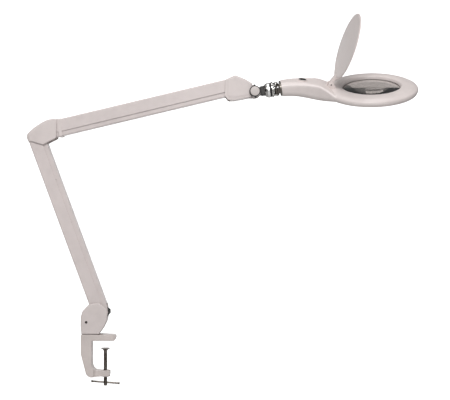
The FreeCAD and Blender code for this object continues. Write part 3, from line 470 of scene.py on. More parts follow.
def combine(o, geo, op="DIFFERENCE"):
    """Adds, cuts or intersects one closed shape with the work piece."""
    tool = geo if isinstance(geo, bpy.types.Object) else temp(geo, "tool")
    mod = o.modifiers.new("combine", "BOOLEAN")
    mod.operation = op
    mod.solver = "EXACT"
    mod.object = tool
    bake(o)
    if not isinstance(geo, bpy.types.Object):
        me = tool.data
        bpy.data.objects.remove(tool)
        bpy.data.meshes.remove(me)
    return o


def bevel(o, width, segments=2, angle=38.0):
    mod = o.modifiers.new("bevel", "BEVEL")
    mod.width = width
    mod.segments = segments
    mod.limit_method = "ANGLE"
    mod.angle_limit = math.radians(angle)
    mod.use_clamp_overlap = True
    return bake(o)


def remesh(o, voxel, iterations=5, factor=0.5):
    mod = o.modifiers.new("remesh", "REMESH")
    mod.mode = "VOXEL"
    mod.voxel_size = voxel
    if iterations:
        sm = o.modifiers.new("smooth", "SMOOTH")
        sm.factor = factor
        sm.iterations = iterations
    return bake(o)


def place(o, name, body, material, nodes=(), frame_m=None, sharp=32.0, flat=True):
    """Turns the work piece into a finished piece in the row frame."""
    o.name = name
    o.data.name = name
    o.data.transform(Matrix.Scale(MM, 4) @ (frame_m or Matrix.Identity(4)))
    for p in o.data.polygons:
        p.use_smooth = True
    o.data.set_sharp_from_angle(angle=math.radians(sharp))
    o.data.materials.clear()
    o.data.materials.append(material)
    if flat:
        wn = o.modifiers.new("flat_faces", "WEIGHTED_NORMAL")
        wn.keep_sharp = True
        wn.weight = 50
    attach(o, body)
    if nodes:
        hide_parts(*nodes)
    return o


def frame_of(origin, rot):
    return Matrix.Translation(Vector(origin)) @ rot.to_4x4()


def ry(deg):
    return Matrix.Rotation(math.radians(deg), 3, "Y")


def rx(deg):
    return Matrix.Rotation(math.radians(deg), 3, "X")


# ------------------------------------------------------------------ dimensions
LEAN, RISE, ARM_L, PIVOT_D = 20.3, 13.4, 400.0, 20.3
P1, Q1 = (-20.0, 61.4), (0.3, 61.4)
P2 = (P1[0] - ARM_L * math.sin(math.radians(LEAN)), P1[1] + ARM_L * math.cos(math.radians(LEAN)))
Q2 = (P2[0] + PIVOT_D, P2[1])
P3, Q3 = (-119.8, 459.0), (-119.8, 459.0 - PIVOT_D)
P4 = (P3[0] + ARM_L * math.cos(math.radians(RISE)), P3[1] + ARM_L * math.sin(math.radians(RISE)))
Q4 = (P4[0], P4[1] - PIVOT_D)
U1 = (-math.sin(math.radians(LEAN)), math.cos(math.radians(LEAN)))
U2 = (math.cos(math.radians(RISE)), math.sin(math.radians(RISE)))
TILT = (319.2, 530.0)
T3 = Vector((319.2, 0.0, 530.0))
R_N = ry(-8.5)
R_S = R_N @ rx(23.5)
R_H = R_S @ ry(5.3)
E3 = T3 + R_S @ Vector((57.4, 0, 0))
C3 = E3 - R_H @ Vector((-194.0, 0, 13.9))
NECK, YOKE, HEAD = frame_of(T3, R_N), frame_of(T3, R_S), frame_of(C3, R_H)


def arm_matrix(p, u):
    """Local x along the arm, y towards the tie, z along +Y."""
    m = Matrix(((u[0], u[1], 0, p[0]), (0, 0, 1, 0), (u[1], -u[0], 0, p[1]), (0, 0, 0, 1)))
    return m


# --------------------------------------------------------------- knuckle covers
def lean_dir(deg):
    return (-math.sin(math.radians(deg)), math.cos(math.radians(deg)))


def rise_dir(deg):
    return (math.cos(math.radians(deg)), math.sin(math.radians(deg)))


def away(p, u, off, side):
    n = (u[1], -u[0])
    return (p[0] + side * off * n[0], p[1] + side * off * n[1])


def sweep_cut(o, p, q, u_back, u_tie, d, off_back, off_tie):
    a, b = away(p, u_back, off_back, -1), away(q, u_tie, off_tie, 1)
    fa = (a[0] + d * u_back[0] * 90, a[1] + d * u_back[1] * 90)
    fb = (b[0] + d * u_tie[0] * 90, b[1] + d * u_tie[1] * 90)
    mid = ((a[0] + b[0]) / 2, (a[1] + b[1]) / 2)
    combine(o, prism([a, fa, fb, b, mid], 0, -18.9, 18.9, 1))
    combine(o, cyl(off_back, -18.9, 18.9, "y", (p[0], 0, p[1])))
    combine(o, cyl(off_tie - 1.6, -18.9, 18.9, "y", (q[0], 0, q[1])))


def cover(name, body, node_name, s, outline, radii, prof, weights, cuts, core, holes, bosses):
    """Moulded cover shell. s is -1 for the front and +1 for the rear."""
    inner = [(1.6, 0, 19.0), (1.6, 0, 0.06)]
    steps = [(d, w, s * y) + tuple(r) for d, w, y, *r in inner + prof]
    o = temp(plate(outline, radii, steps, weights))
    for c in cuts:
        c(o)
    combine(o, prism(inset(core, -0.3), 0, -12.8, 12.8, 1))
    for x, z in holes:
        lo, hi = sorted((s * 25.0, s * 10.0))
        combine(o, cyl(1.7, lo, hi, "y", (x, 0, z), 24))
        lo, hi = sorted((s * 25.0, s * 19.7))
        combine(o, cyl(3.0, lo, hi, "y", (x, 0, z), 32))
    for x, z in bosses:
        lo, hi = sorted((s * 18.9, s * 12.6))
        combine(o, lathe([(1.5, lo), (3.4, lo), (3.4, hi), (1.5, hi)], 32, "y", (x, 0, z)), "UNION")
    # the rims leave loose scraps where an arm passes: keep the largest piece
    keep_largest(o)
    return place(o, name, body, M_cover, [node_name], sharp=28.0)


def keep_largest(o):
    bm = bmesh.new()
    bm.from_mesh(o.data)
    bm.faces.ensure_lookup_table()
    seen, groups = set(), []
    for f in bm.faces:
        if f.index in seen:
            continue
        stack, grp = [f], []
        seen.add(f.index)
        while stack:
            g = stack.pop()
            grp.append(g)
            for e in g.edges:
                for h in e.link_faces:
                    if h.index not in seen:
                        seen.add(h.index)
                        stack.append(h)
        groups.append(grp)
    groups.sort(key=lambda g: -sum(f.calc_area() for f in g))
    drop = [f for g in groups[1:] for f in g]
    bmesh.ops.delete(bm, geom=drop, context="FACES")
    bm.to_mesh(o.data)
    bm.free()
    tidy(o.data)


base_outline = [(-49.4, 14.6), (-51.2, 31.9), (-50.8, 51.4), (-47.4, 63.1), (-33.4, 78.2), (-13.5, 81.5),
                (-4.5, 76.0), (4.2, 67.5), (6.8, 58.2), (3.6, 40.9), (-2.4, 28.2), (-12.0, 14.6)]
base_radii = [0.8, 12, 8, 8, 5, 5, 6, 6, 8, 12, 12, 1.2]
base_core = [(-46.5, 14.2), (-47.5, 32.0), (-46.5, 49.0), (-28.5, 62.0), (-25.5, 69.0), (-17.0, 70.2),
             (0.3, 70.8), (9.8, 66.0), (10.6, 57.5), (4.6, 51.6), (0.4, 41.5), (-6.5, 29.4), (-16.5, 14.2)]
elbow_outline = [(-165.8, 432.5), (-164.2, 441.2), (-150.5, 453.2), (-134.5, 463.9), (-121.5, 470.6), (-110.0, 472.8), (-100.4, 472.4),
                 (-102.8, 430.8), (-121.0, 421.6), (-131.0, 416.2), (-156.0, 423.8), (-162.4, 421.8)]
elbow_radii = [7, 9, 30, 30, 20, 10, 1.2, 1.2, 10, 6, 8, 5]
elbow_core = [(-163.4, 439.6), (-157.0, 446.6), (-124.0, 466.2), (-112.6, 464.0), (-112.8, 434.0), (-119.8, 431.4),
              (-138.0, 429.4), (-158.5, 428.8)]
hk_outline = [(255.9, 555.3), (277.1, 565.0), (298.3, 556.6), (313.3, 547.6), (311.4, 518.6), (275.6, 511.6),
              (262.5, 511.6), (255.0, 521.0)]
hk_radii = [1.5, 5, 18, 2.0, 2.0, 12, 6, 5]
hk_core = [(262.4, 552.0), (269.3, 559.2), (278.0, 560.4), (297.0, 552.4), (319.2, 543.0), (331.0, 541.0), (331.0, 519.0),
           (319.2, 517.0), (290.0, 518.0), (276.0, 516.4), (262.4, 524.5)]

LOW_L, LOW_R = LEAN + 20.0, LEAN - 35.0
UP_D, UP_U = RISE - 30.0, RISE + 36.0
base_cuts = [lambda o: sweep_cut(o, P1, Q1, lean_dir(LOW_L), lean_dir(LOW_R), 1, 8.2, 10.5),
             lambda o: combine(o, cyl(10.9, -18.9, 18.9, "y", (Q1[0], 0, Q1[1])))]
elbow_cuts = [lambda o: sweep_cut(o, P2, Q2, lean_dir(LOW_R), lean_dir(LOW_L), -1, 8.0, 10.5),
              lambda o: sweep_cut(o, P3, Q3, rise_dir(UP_U), rise_dir(UP_D), 1, 9.4, 12.1)]
hk_cuts = [lambda o: sweep_cut(o, P4, Q4, rise_dir(UP_D), rise_dir(UP_U), -1, 8.0, 10.5),
           lambda o: combine(o, cyl(17.6, -18.9, 18.9, "y", (TILT[0], 0, TILT[1]))),
           lambda o: combine(o, cyl(8.3, -30, -18, "y", (TILT[0], 0, TILT[1])))]

# base cover: softly rounded edge, plain face
base_prof = [(0, 0, 0.06), (0, 0, 18.2), (0.15, 0, 19.2), (0.6, 0, 20.1), (1.4, 0, 20.7), (2.6, 0, 21.0), (3.4, 0, 21.02)]
for s, tag in ((-1, "front"), (1, "rear")):
    cover("base_cover_" + tag + "_looks", "base", "base_cover_" + tag, s, base_outline, base_radii, base_prof, None,
          base_cuts, base_core, [(-38.9, 40.0)] if s < 0 else [(-14.0, 38.0)], [(-14.0, 38.0)] if s < 0 else [(-38.9, 40.0)])
if True:
    # opening for the cable gland in the rear cover
    o = bpy.data.objects["base_cover_rear_looks"]
    g = temp(cyl(4.06, 10, 25, "y", (-27.5, 0, 25.5)))
    g.data.transform(Matrix.Scale(MM, 4))
    mod = o.modifiers.new("gland", "BOOLEAN")
    mod.operation = "DIFFERENCE"
    mod.solver = "EXACT"
    mod.object = g
    bpy.context.view_layer.update()
    new = bpy.data.meshes.new_from_object(o.evaluated_get(bpy.context.evaluated_depsgraph_get()))
    o.modifiers.clear()
    o.data = new
    bpy.data.objects.remove(g)

# elbow cover: broad soft bevel round the outer corner, crisp towards the arms
elbow_w = [1.0, 0.9, 0.6, 0.5, 0.4, 0.3, 0.12, 0.12, 0.12, 0.12, 0.12, 1.0]
elbow_prof = [(0, 0, 0.06), (0, 0, 17.6), (0.25, 0.3, 19.0), (0.5, 1.6, 20.0), (0.8, 3.2, 20.6), (1.2, 4.6, 20.95), (1.6, 5.2, 21.02)]
for s, tag in ((-1, "front"), (1, "rear")):
    pts = [(-150.5, 445.5), (-134.0, 457.0)]
    cover("elbow_cover_" + tag + "_looks", "elbow", "elbow_cover_" + tag, s, elbow_outline, elbow_radii, elbow_prof, elbow_w,
          elbow_cuts, elbow_core, pts if s > 0 else [], pts if s < 0 else [])

# head knuckle cover: raised panel inside a border at the arm side and below
hk_w = [0.25, 0.10, 0.10, 0.0, 0.75, 1.0, 1.0, 1.0]
hk_prof = [(0, 0, 0.06), (0, 0, 18.8), (0.2, 0, 19.5), (0.7, 0, 19.95), (1.4, 0, 20.1), (1.6, 3.6, 20.12), (1.9, 4.2, 20.45),
           (2.2, 4.7, 20.85, 1.0), (2.6, 5.1, 21.02, 2.0), (3.2, 5.4, 21.04, 3.0)]
for s, tag in ((-1, "front"), (1, "rear")):
    pts = [(285.5, 549.0), (287.5, 523.0)]
    cover("head_knuckle_cover_" + tag + "_looks", "head_knuckle", "head_knuckle_cover_" + tag, s, hk_outline, hk_radii, hk_prof, hk_w,
          hk_cuts, hk_core, pts if s > 0 else [], pts if s < 0 else [])


# ------------------------------------------------------------------ cover screws
def pan_screws(name, body, node_name, spots):
    """Domed screws with a cross recess. spots: (x, z, side)."""
    total = None
    for x, z, s in spots:
        prof = [(0, 20.75), (1.4, 20.6), (2.3, 20.2), (2.75, 19.85), (2.75, 19.7), (1.48, 19.7), (1.48, -17.6), (0, -17.6)]
        o = temp(lathe([(r, h * s) for r, h in prof], 28, "y", (x, 0, z), closed=False))
        lo, hi = sorted((s * 22.0, s * 19.95))
        cross = [(-1.6, -0.32), (1.6, -0.32), (1.6, 0.32), (-1.6, 0.32)]
        combine(o, prism([(x + a, z + b) for a, b in cross], 0, lo, hi, 1))
        combine(o, prism([(x + b, z + a) for a, b in cross], 0, lo, hi, 1))
        if total is None:
            total = o
        else:
            combine(total, o, "UNION")
            bpy.data.objects.remove(o)
    return place(total, name, body, M_black_screw, [node_name], sharp=30.0)


pan_screws("base_cover_screws_looks", "base", "base_cover_screws", [(-38.9, 40.0, -1), (-14.0, 38.0, 1)])
pan_screws("elbow_cover_screws_looks", "elbow", "elbow_cover_screws", [(-150.5, 445.5, 1), (-134.0, 457.0, 1)])
pan_screws("head_knuckle_screws_looks", "head_knuckle", "head_knuckle_screws", [(285.5, 549.0, 1), (287.5, 523.0, 1)])


# ------------------------------------------------------------------------- arms
def channel(half, b0, b1, radius, outline, out_radii, web_from, web_to, web_low, holes, edge=0.22):
    t = 1.5
    if web_low:
        prof = [(b1, half), (b0, half), (b0, -half), (b1, -half), (b1, -half + t), (b0 + t, -half + t), (b0 + t, half - t), (b1, half - t)]
    else:
        prof = [(b0, half), (b1, half), (b1, -half), (b0, -half), (b0, -half + t), (b1 - t, -half + t), (b1 - t, half - t), (b0, half - t)]
    rr = [0.45, radius, radius, 0.45, 0.45, max(radius - t, 0.6), max(radius - t, 0.6), 0.45]
    o = temp(prism_x(prof, rr, -20.0, ARM_L + 20.0, 5))
    combine(o, prism_z(outline, out_radii, -half - 1, half + 1, 6), "INTERSECT")
    inner = half - t - 0.001
    combine(o, box(-30, b0 - 5, -inner, web_from, b1 + 5, inner))
    combine(o, box(web_to, b0 - 5, -inner, ARM_L + 30, b1 + 5, inner))
    for a, b, r in holes:
        combine(o, cyl(r, -20, 20, "z", (a, b, 0), 32))
    return bevel(o, edge, 2, 50.0)


main_outline = [(-6, -6), (10, -7), (ARM_L - 10, -7), (ARM_L + 6, -6), (ARM_L + 6, 5.0), (ARM_L - 17, 19), (17, 19), (-6, 5.0)]
tie_outline = [(-6, -4.5), (ARM_L + 6, -4.5), (ARM_L + 6, 5.2), (ARM_L - 12, 9.0), (12, 9.0), (-6, 5.2)]
for arm, p, q, u in (("lower", P1, Q1, U1), ("upper", P3, Q3, U2)):
    o = channel(17.0, -7.0, 19.0, 2.4, main_outline, [5.4, 0, 0, 5.4, 5, 3, 3, 5], 17.0, ARM_L - 17.0, True,
                [(0, 0, 4.06), (ARM_L, 0, 4.06)])
    place(o, arm + "_main_channel_looks", arm + "_main", M_coated, [arm + "_main_channel"], arm_matrix(p, u))
    o = channel(14.5, -4.5, 9.0, 2.0, tie_outline, [4.2, 4.2, 5, 0, 0, 5], 16.0, ARM_L - 16.0, False,
                [(0, 0, 3.06), (ARM_L, 0, 3.06), (300, -1.0, 2.0)])
    place(o, arm + "_tie_channel_looks", arm + "_tie", M_coated, [arm + "_tie_channel"], arm_matrix(q, u))

# sleeve, cut a little on the slant so that its edges follow the elbow cover
lo_b, hi_b = -7.7, 30.2


def slant(a, b):
    t = (b - lo_b) / (hi_b - lo_b)
    return a - t * (2.5 + (a - 19.5) / 9.5 * 2.5)


rings = []
for a, g in ((19.5, 0.0), (19.5, 0.2), (19.9, 0.45), (24.0, 0.45), (28.6, 0.45), (29.0, 0.2), (29.0, 0.0)):
    pts = rounded([(lo_b - g, 17.9 + g * 0.35), (hi_b + g, 17.9 + g * 0.35), (hi_b + g, -17.9 - g * 0.35), (lo_b - g, -17.9 - g * 0.35)], 3.2, 6)
    rings.append([(slant(a, b), b, c) for b, c in pts])
pts = rounded([(lo_b + 1, 17.02), (hi_b - 1, 17.02), (hi_b - 1, -17.02), (lo_b + 1, -17.02)], 2.4, 6)
rings += [[(slant(29.0, b), b, c) for b, c in pts], [(slant(19.5, b), b, c) for b, c in pts]]
o = temp(loft(rings, cap=False, wrap=True))
place(o, "upper_arm_sleeve_looks", "upper_main", M_cover, ["upper_arm_sleeve"], arm_matrix(P3, U2))


# springs: close-wound wire with an eye at each end
def coil(name, body, node_name, m, offset):
    total_v, total_f = [], []
    wire, rad, pitch, seg, ring_n = 0.62, 3.55, 1.45, 14, 6
    a, b = Vector((89.0, 3.4, 0)), Vector((285.0, offset - 5.0, 0))
    d = (b - a).normalized()
    side = Vector((0, 0, 1))
    up = d.cross(side)
    length = (b - a).length
    for c in (-5.5, 5.5):
        path = []
        start, end = Vector((84.0, 3.0, c)), Vector((291.5, offset - 5.0, c))
        for k in range(13):
            t = math.pi * (1.25 - 1.5 * k / 12)
            path.append(start + d * (2.9 * math.cos(t + math.pi) * -1) + up * (2.9 * math.sin(t)))
        turns = int((length - 6) / pitch)
        for k in range(turns * seg + 1):
            t = 2 * math.pi * k / seg
            along = 3.0 + (length - 6) * k / (turns * seg)
            path.append(a + Vector((0, 0, c)) + d * along + (up * math.sin(t) + side * math.cos(t)) * rad)
        for k in range(13):
            t = math.pi * (-0.75 + 1.5 * k / 12)
            path.append(end - d * (2.3 * math.cos(t)) + up * (2.3 * math.sin(t)))
        base = len(total_v)
        prev_n = up
        for i, p in enumerate(path):
            tan = (path[min(i + 1, len(path) - 1)] - path[max(i - 1, 0)]).normalized()
            n1 = (prev_n - tan * prev_n.dot(tan)).normalized()
            prev_n = n1
            n2 = tan.cross(n1)
            for j in range(ring_n):
                q = 2 * math.pi * j / ring_n
                total_v.append(tuple(p + (n1 * math.cos(q) + n2 * math.sin(q)) * wire))
        for i in range(len(path) - 1):
            for j in range(ring_n):
                k = (j + 1) % ring_n
                total_f.append((base + i * ring_n + j, base + i * ring_n + k, base + (i + 1) * ring_n + k, base + (i + 1) * ring_n + j))
        total_f.append(tuple(base + j for j in range(ring_n - 1, -1, -1)))
        total_f.append(tuple(base + (len(path) - 1) * ring_n + j for j in range(ring_n)))
    o = temp((total_v, total_f))
    return place(o, name, body, M_spring, [node_name], m, sharp=80.0)


coil("lower_springs_looks", "lower_main", "lower_springs", arm_matrix(P1, U1), PIVOT_D * math.cos(math.radians(LEAN)))
coil("upper_springs_looks", "upper_main", "upper_springs", arm_matrix(P3, U2), PIVOT_D * math.cos(math.radians(RISE)))

# ------------------------------------------------------------------------ clamp
clamp_outline = [(-51.0, 13.9), (-51.0, -28.0), (-39.4, -72.3), (-31.5, -78.0), (3.0, -75.9), (10.2, -74.5),
                 (10.2, -64.6), (-27.8, -63.0), (-27.8, 0.0), (20.6, 0.0), (23.4, 7.2), (20.8, 12.0), (-30.0, 13.9)]
clamp_radii = [3.0, 30.0, 9.0, 9.0, 8.0, 2.0, 2.0, 12.5, 1.2, 1.0, 1.0, 2.5, 0.0]
o = temp(plate(clamp_outline, clamp_radii, [(1.3, 0, -19.0, 0.4), (0.4, 0, -18.5, 0.4), (0, 0, -17.4, 0.4), (0, 0, 17.4, 0.4), (0.4, 0, 18.5, 0.4), (1.3, 0, 19.0, 0.4)]))
for s in (-1, 1):
    # the lower jaw narrows to a boss round the screw, and the tip of the seat jaw is bevelled
    combine(o, prism_z([(-26.0, s * 24.0), (-21.0, s * 11.5), (16.0, s * 11.5), (16.0, s * 30.0), (-26.0, s * 30.0)], [0, 6, 0, 0, 0], -90.0, -55.0, 6))
    combine(o, prism_z([(15.5, s * 19.6), (24.5, s * 13.2), (30.0, s * 13.2), (30.0, s * 30.0), (15.5, s * 30.0)], 0, -3.0, 20.0, 2))
combine(o, lathe([(0, -77.6), (9.4, -77.6), (10.2, -76.6), (10.2, -64.4), (9.6, -63.6), (0, -63.6)], 40, "z", closed=False), "UNION")
remesh(o, 0.75, 4, 0.5)
combine(o, cyl(4.06, -90, -50, "z", n=40))
combine(o, cyl(6.31, -22.0, 28.0, "z", (-38.5, 0, 0), 40))
place(o, "clamp_body_looks", "clamp", M_cast, ["clamp_body"], sharp=50.0)

# swivel pad: flared cup with a thin lip
o = temp(lathe([(0, -16.7), (9.7, -16.7), (10.0, -17.0), (10.0, -17.5), (9.6, -17.9), (7.6, -18.9), (5.8, -19.9), (5.0, -20.9), (4.7, -21.9),
                (4.4, -22.2), (2.36, -22.2), (2.36, -18.4), (0, -18.4)], 56, "z", closed=False))
place(o, "clamp_pad_looks", "pad", M_dark_steel, ["clamp_pad"])


def threaded(z0, z1, crest, root, pitch, seg=28, rows=6):
    """Rod with a helical V thread between z0 and z1."""
    verts, faces = [], []
    levels = int((z1 - z0) / pitch * rows) + rows
    for k in range(-rows, levels + 1):
        f = (k % rows) / rows
        tri = 1 - abs(2 * f - 1)
        r0 = root + (crest - root) * min(1.0, max(0.0, (tri - 0.12) / 0.72))
        for j in range(seg):
            z = z0 + pitch * (k / rows + j / seg)
            r = r0
            if z < z0:
                z, r = z0, root
            if z > z1:
                z, r = z1, root
            a = 2 * math.pi * j / seg
            verts.append((r * math.cos(a), r * math.sin(a), z))
    total = levels + rows + 1
    for k in range(total - 1):
        for j in range(seg):
            if j < seg - 1:
                q = (k * seg + j, k * seg + j + 1, (k + 1) * seg + j + 1, (k + 1) * seg + j)
            else:
                if k + rows + 1 >= total:
                    continue
                q = (k * seg + j, (k + rows) * seg, (k + rows + 1) * seg, (k + 1) * seg + j)
            faces.append(q)
    o = temp((verts, faces))
    bm = bmesh.new()
    bm.from_mesh(o.data)
    bmesh.ops.remove_doubles(bm, verts=bm.verts, dist=0.002)
    bmesh.ops.dissolve_degenerate(bm, edges=bm.edges, dist=0.001)
    edges = [e for e in bm.edges if len(e.link_faces) == 1]
    bmesh.ops.holes_fill(bm, edges=edges, sides=0)
    bmesh.ops.recalc_face_normals(bm, faces=bm.faces)
    bm.to_mesh(o.data)
    bm.free()
    return o


o = threaded(-94.6, -27.0, 4.0, 3.42, 1.25)
combine(o, lathe([(0, -97.0), (3.1, -97.0), (3.5, -96.4), (3.5, -94.2), (0, -94.2)], 40, "z", closed=False), "UNION")
combine(o, lathe([(0, -27.4), (3.5, -27.4), (3.7, -26.6), (3.7, -23.2), (3.2, -22.6), (2.3, -22.6), (2.3, -18.7), (0, -18.7)], 40, "z", closed=False), "UNION")
combine(o, cyl(2.4, -10, 10, "x", (0, 0, -90.1), 32))
place(o, "clamp_screw_looks", "screw", M_dark_steel, ["clamp_screw"], sharp=40.0)

# tommy bar, its ends upset so that it stays in the hole
BAR_T = math.radians(4.4)
BAR = Matrix.Translation((0, 0, -90.1)) @ Matrix.Rotation(BAR_T, 4, "Y")
o = temp(lathe([(0, -30.5), (2.0, -30.5), (2.7, -30.1), (2.9, -29.4), (2.8, -28.6), (2.2, -28.0), (1.98, -27.2), (1.98, 27.2), (2.2, 28.0), (2.8, 28.6),
                (2.9, 29.4), (2.7, 30.1), (2.0, 30.5), (0, 30.5)], 28, "x", closed=False))
place(o, "clamp_tommy_bar_looks", "tommy_bar", M_dark_steel, ["clamp_tommy_bar"], BAR)


# -------------------------------------------------------- tilt knob and swivel
def lathe_y(prof, n=64):
    """Profile of (radius, y) about the tilt axis."""
    return lathe(prof, n, "y", (TILT[0], 0, TILT[1]), closed=False)


# knob: thin ribbed rim and two small wings
ring = []
N = 120
prof = [(4.06, -25.6), (5.5, -25.6), (5.5, -27.8), (9.9, -27.8), (9.9, -29.2), (10.2, -29.6), (11.5, -29.6), (11.9, -29.2), (11.9, -22.4), (11.5, -21.9),
        (8.0, -21.6), (8.0, -12.8), (4.06, -12.8)]
verts, faces = [], []
for r, h in prof:
    ring = []
    for j in range(N):
        a = 2 * math.pi * j / N
        rr = r - (0.28 if (j % 3 == 0 and 11.7 < r) else 0.0)
        ring.append((rr * math.sin(a) + TILT[0], h, rr * math.cos(a) + TILT[1]))
    verts.append(ring)
o = temp(loft(verts, cap=False, wrap=True))
for s in (1, -1):
    a = math.radians(5.0)
    d = (-math.sin(a) * s, math.cos(a) * s)
    n = (d[1], -d[0])
    tab = [(TILT[0] + d[0] * r + n[0] * w, TILT[1] + d[1] * r + n[1] * w) for r, w in ((9.0, 2.8), (14.4, 1.7), (14.4, -1.7), (9.0, -2.8))]
    combine(o, prism(tab, [0, 1.3, 1.3, 0], -27.6, -22.6, 5), "UNION")
bevel(o, 0.2, 2, 50)
place(o, "tilt_knob_looks", "knob", M_black_plastic, ["tilt_knob"], sharp=40)
o = temp(lathe_y([(5.2, -27.75), (9.5, -27.75), (9.5, -29.65), (9.85, -29.75), (9.85, -31.2), (9.5, -32.0), (8.6, -32.45), (5.0, -32.65), (0, -32.7),
                  (0, -30.9), (5.2, -30.9)], 64))
place(o, "tilt_knob_cap_looks", "knob", M_cap, ["tilt_knob_cap"])
o = temp(lathe_y([(0, -29.9), (3.4, -29.9), (4.0, -29.3), (4.0, 12.6), (7.6, 12.6), (7.6, 14.4), (6.9, 15.9), (5.0, 16.9), (2.2, 17.2), (2.2, 15.4), (0, 15.4)], 48))
place(o, "tilt_bolt_looks", "head_knuckle", M_zinc, ["tilt_bolt"])

# neck: eye between the fork plates, block in front of it
o = temp(lathe([(0, -7.2), (10.4, -7.2), (10.9, -6.7), (10.9, 6.7), (10.4, 7.2), (0, 7.2)], 56, "y", closed=False))
combine(o, box(0, -7.2, -8.8, 14, 7.2, 8.8), "UNION")
combine(o, prism_x([(-10.8, -10.4), (10.8, -10.4), (10.8, 10.4), (-10.8, 10.4)], 2.2, 13.4, 20.8, 5), "UNION")
combine(o, prism_x([(-12, 9.7), (12, 9.7), (12, 13), (-12, 13)], 0, 16.4, 17.8, 1))
combine(o, prism_x([(-12, -9.7), (12, -9.7), (12, -13), (-12, -13)], 0, 16.4, 17.8, 1))
bevel(o, 0.35, 2, 40)
combine(o, cyl(4.06, -15, 15, "y", n=40))
combine(o, cyl(4.06, 8.0, 25.0, "x", n=40))
place(o, "neck_block_looks", "neck", M_black_plastic, ["neck_block"], NECK, sharp=35)

# chrome stack, turned about the swivel axis
o = temp(lathe([(4.1, 20.85), (11.2, 20.85), (11.6, 21.2), (13.0, 22.6), (14.1, 24.2), (14.6, 25.4), (14.6, 26.1), (14.3, 26.4), (4.1, 26.4)], 96, "x"))
place(o, "swivel_flange_looks", "neck", M_chrome, ["swivel_flange"], NECK, sharp=24)
o = temp(lathe([(4.06, 26.7), (15.2, 26.7), (15.7, 26.85), (16.1, 27.3), (16.15, 28.0), (16.2, 29.6), (16.15, 31.2), (16.1, 31.7), (15.7, 32.25), (15.2, 32.4), (4.06, 32.4)], 96, "x"))
place(o, "swivel_ring_looks", "yoke", M_ring_painted_highlight, ["swivel_ring"], YOKE, sharp=40)
o = temp(lathe([(4.06, 32.45), (14.9, 32.45), (15.3, 32.8), (15.3, 33.7), (14.8, 34.0), (14.8, 34.4), (15.3, 34.7), (15.3, 35.5), (14.9, 35.9), (4.06, 35.9)], 96, "x"))
place(o, "swivel_washer_looks", "yoke", M_black_plastic, ["swivel_washer"], YOKE, sharp=40)

# yoke: disc with two ears
o = temp(lathe([(4.06, 35.95), (15.4, 35.95), (16.0, 36.2), (16.7, 36.9), (16.8, 37.6), (16.8, 38.9), (16.4, 39.6), (15.8, 40.0), (4.06, 40.0)], 80, "x"))
ear = [(38.5, -7.0), (46.5, -7.0), (51.9, -4.0), (51.9, 4.0), (46.5, 7.0), (38.5, 7.0)]
combine(o, prism_z(ear, [0, 5, 3.4, 3.4, 5, 0], 10.0, 13.0, 6), "UNION")
combine(o, prism_z(ear, [0, 5, 3.4, 3.4, 5, 0], -13.0, -10.0, 6), "UNION")
bevel(o, 0.4, 3, 40)
combine(o, cyl(2.5, -20, 20, "z", (46.5, 0, 0), 32))
place(o, "yoke_looks", "yoke", M_chrome, ["yoke"], YOKE, sharp=35)
o = temp(lathe([(0, -15.0), (2.4, -15.0), (3.7, -14.7), (4.2, -14.1), (4.2, -13.3), (4.0, -13.05), (2.5, -13.05), (2.5, 13.05), (4.0, 13.05), (4.2, 13.3), (4.2, 14.1),
                (3.7, 14.7), (2.4, 15.0), (0, 15.0)], 40, "z", (46.5, 0, 0), closed=False))
place(o, "pan_pin_looks", "yoke", M_chrome_plain, ["pan_pin"], YOKE)

# handle fitting: slotted lug, collar and stub
o = temp(cyl(4.6, -9.8, 9.8, "z", (46.5, 0, 0), 48))
combine(o, box(46.5, -3.6, -9.8, 55.0, 3.6, 9.8), "UNION")
combine(o, prism([(38.0, 1.5), (52.0, 1.5), (52.0, 6.0), (38.0, 6.0)], 1.2, -9, 9, 4))
combine(o, prism_x([(-18.4, -14.4), (18.4, -14.4), (18.4, 14.4), (-18.4, 14.4)], 12.0, 54.0, 57.3, 10), "UNION")
combine(o, prism_x([(-14.5, -10.5), (14.5, -10.5), (14.5, 10.5), (-14.5, 10.5)], 8.5, 57.2, 69.2, 8), "UNION")
bevel(o, 0.45, 3, 40)
combine(o, cyl(2.56, -20, 20, "z", (46.5, 0, 0), 32))
combine(o, cyl(3.0, 54.4, 80.0, "x", (0, 0, -5.5), 32))
place(o, "handle_fitting_looks", "head", M_fitting, ["handle_fitting"], YOKE, sharp=35)

# ------------------------------------------------------------------------- head
SECTIONS = [(-196.5, 13.9, 19.3, 15.0, 13.0, 12.0), (-178.0, 14.6, 21.3, 15.8, 13.0, 11.5), (-160.0, 13.5, 22.8, 16.3, 13.5, 9.5),
            (-143.0, 10.9, 24.8, 17.1, 13.6, 7.5), (-127.0, 8.1, 28.2, 17.5, 13.0, 6.5), (-111.0, 5.6, 34.5, 17.2, 12.4, 6.0),
            (-96.0, 2.95, 44.0, 15.15, 11.6, 7.0), (-82.0, 0.1, 54.0, 11.1, 9.6, 8.0), (-67.0, -0.3, 62.0, 7.8, 7.0, 6.8)]
LENS_R, SAG = 63.4, 6.2
HX, HZ = -87.5, 17.5
SWITCH_X = -148.0


def spline(rows, steps):
    """Catmull-Rom curve through the rows, clamped at both ends."""
    out = []
    for i in range(len(rows) - 1):
        p0, p1, p2, p3 = rows[max(i - 1, 0)], rows[i], rows[i + 1], rows[min(i + 2, len(rows) - 1)]
        for s in range(steps):
            t = s / steps
            out.append(tuple(0.5 * (2 * b + (c - a) * t + (2 * a - 5 * b + 4 * c - d) * t * t + (3 * b - a - 3 * c + d) * t ** 3)
                             for a, b, c, d in zip(p0, p1, p2, p3)))
    out.append(tuple(rows[-1]))
    return out


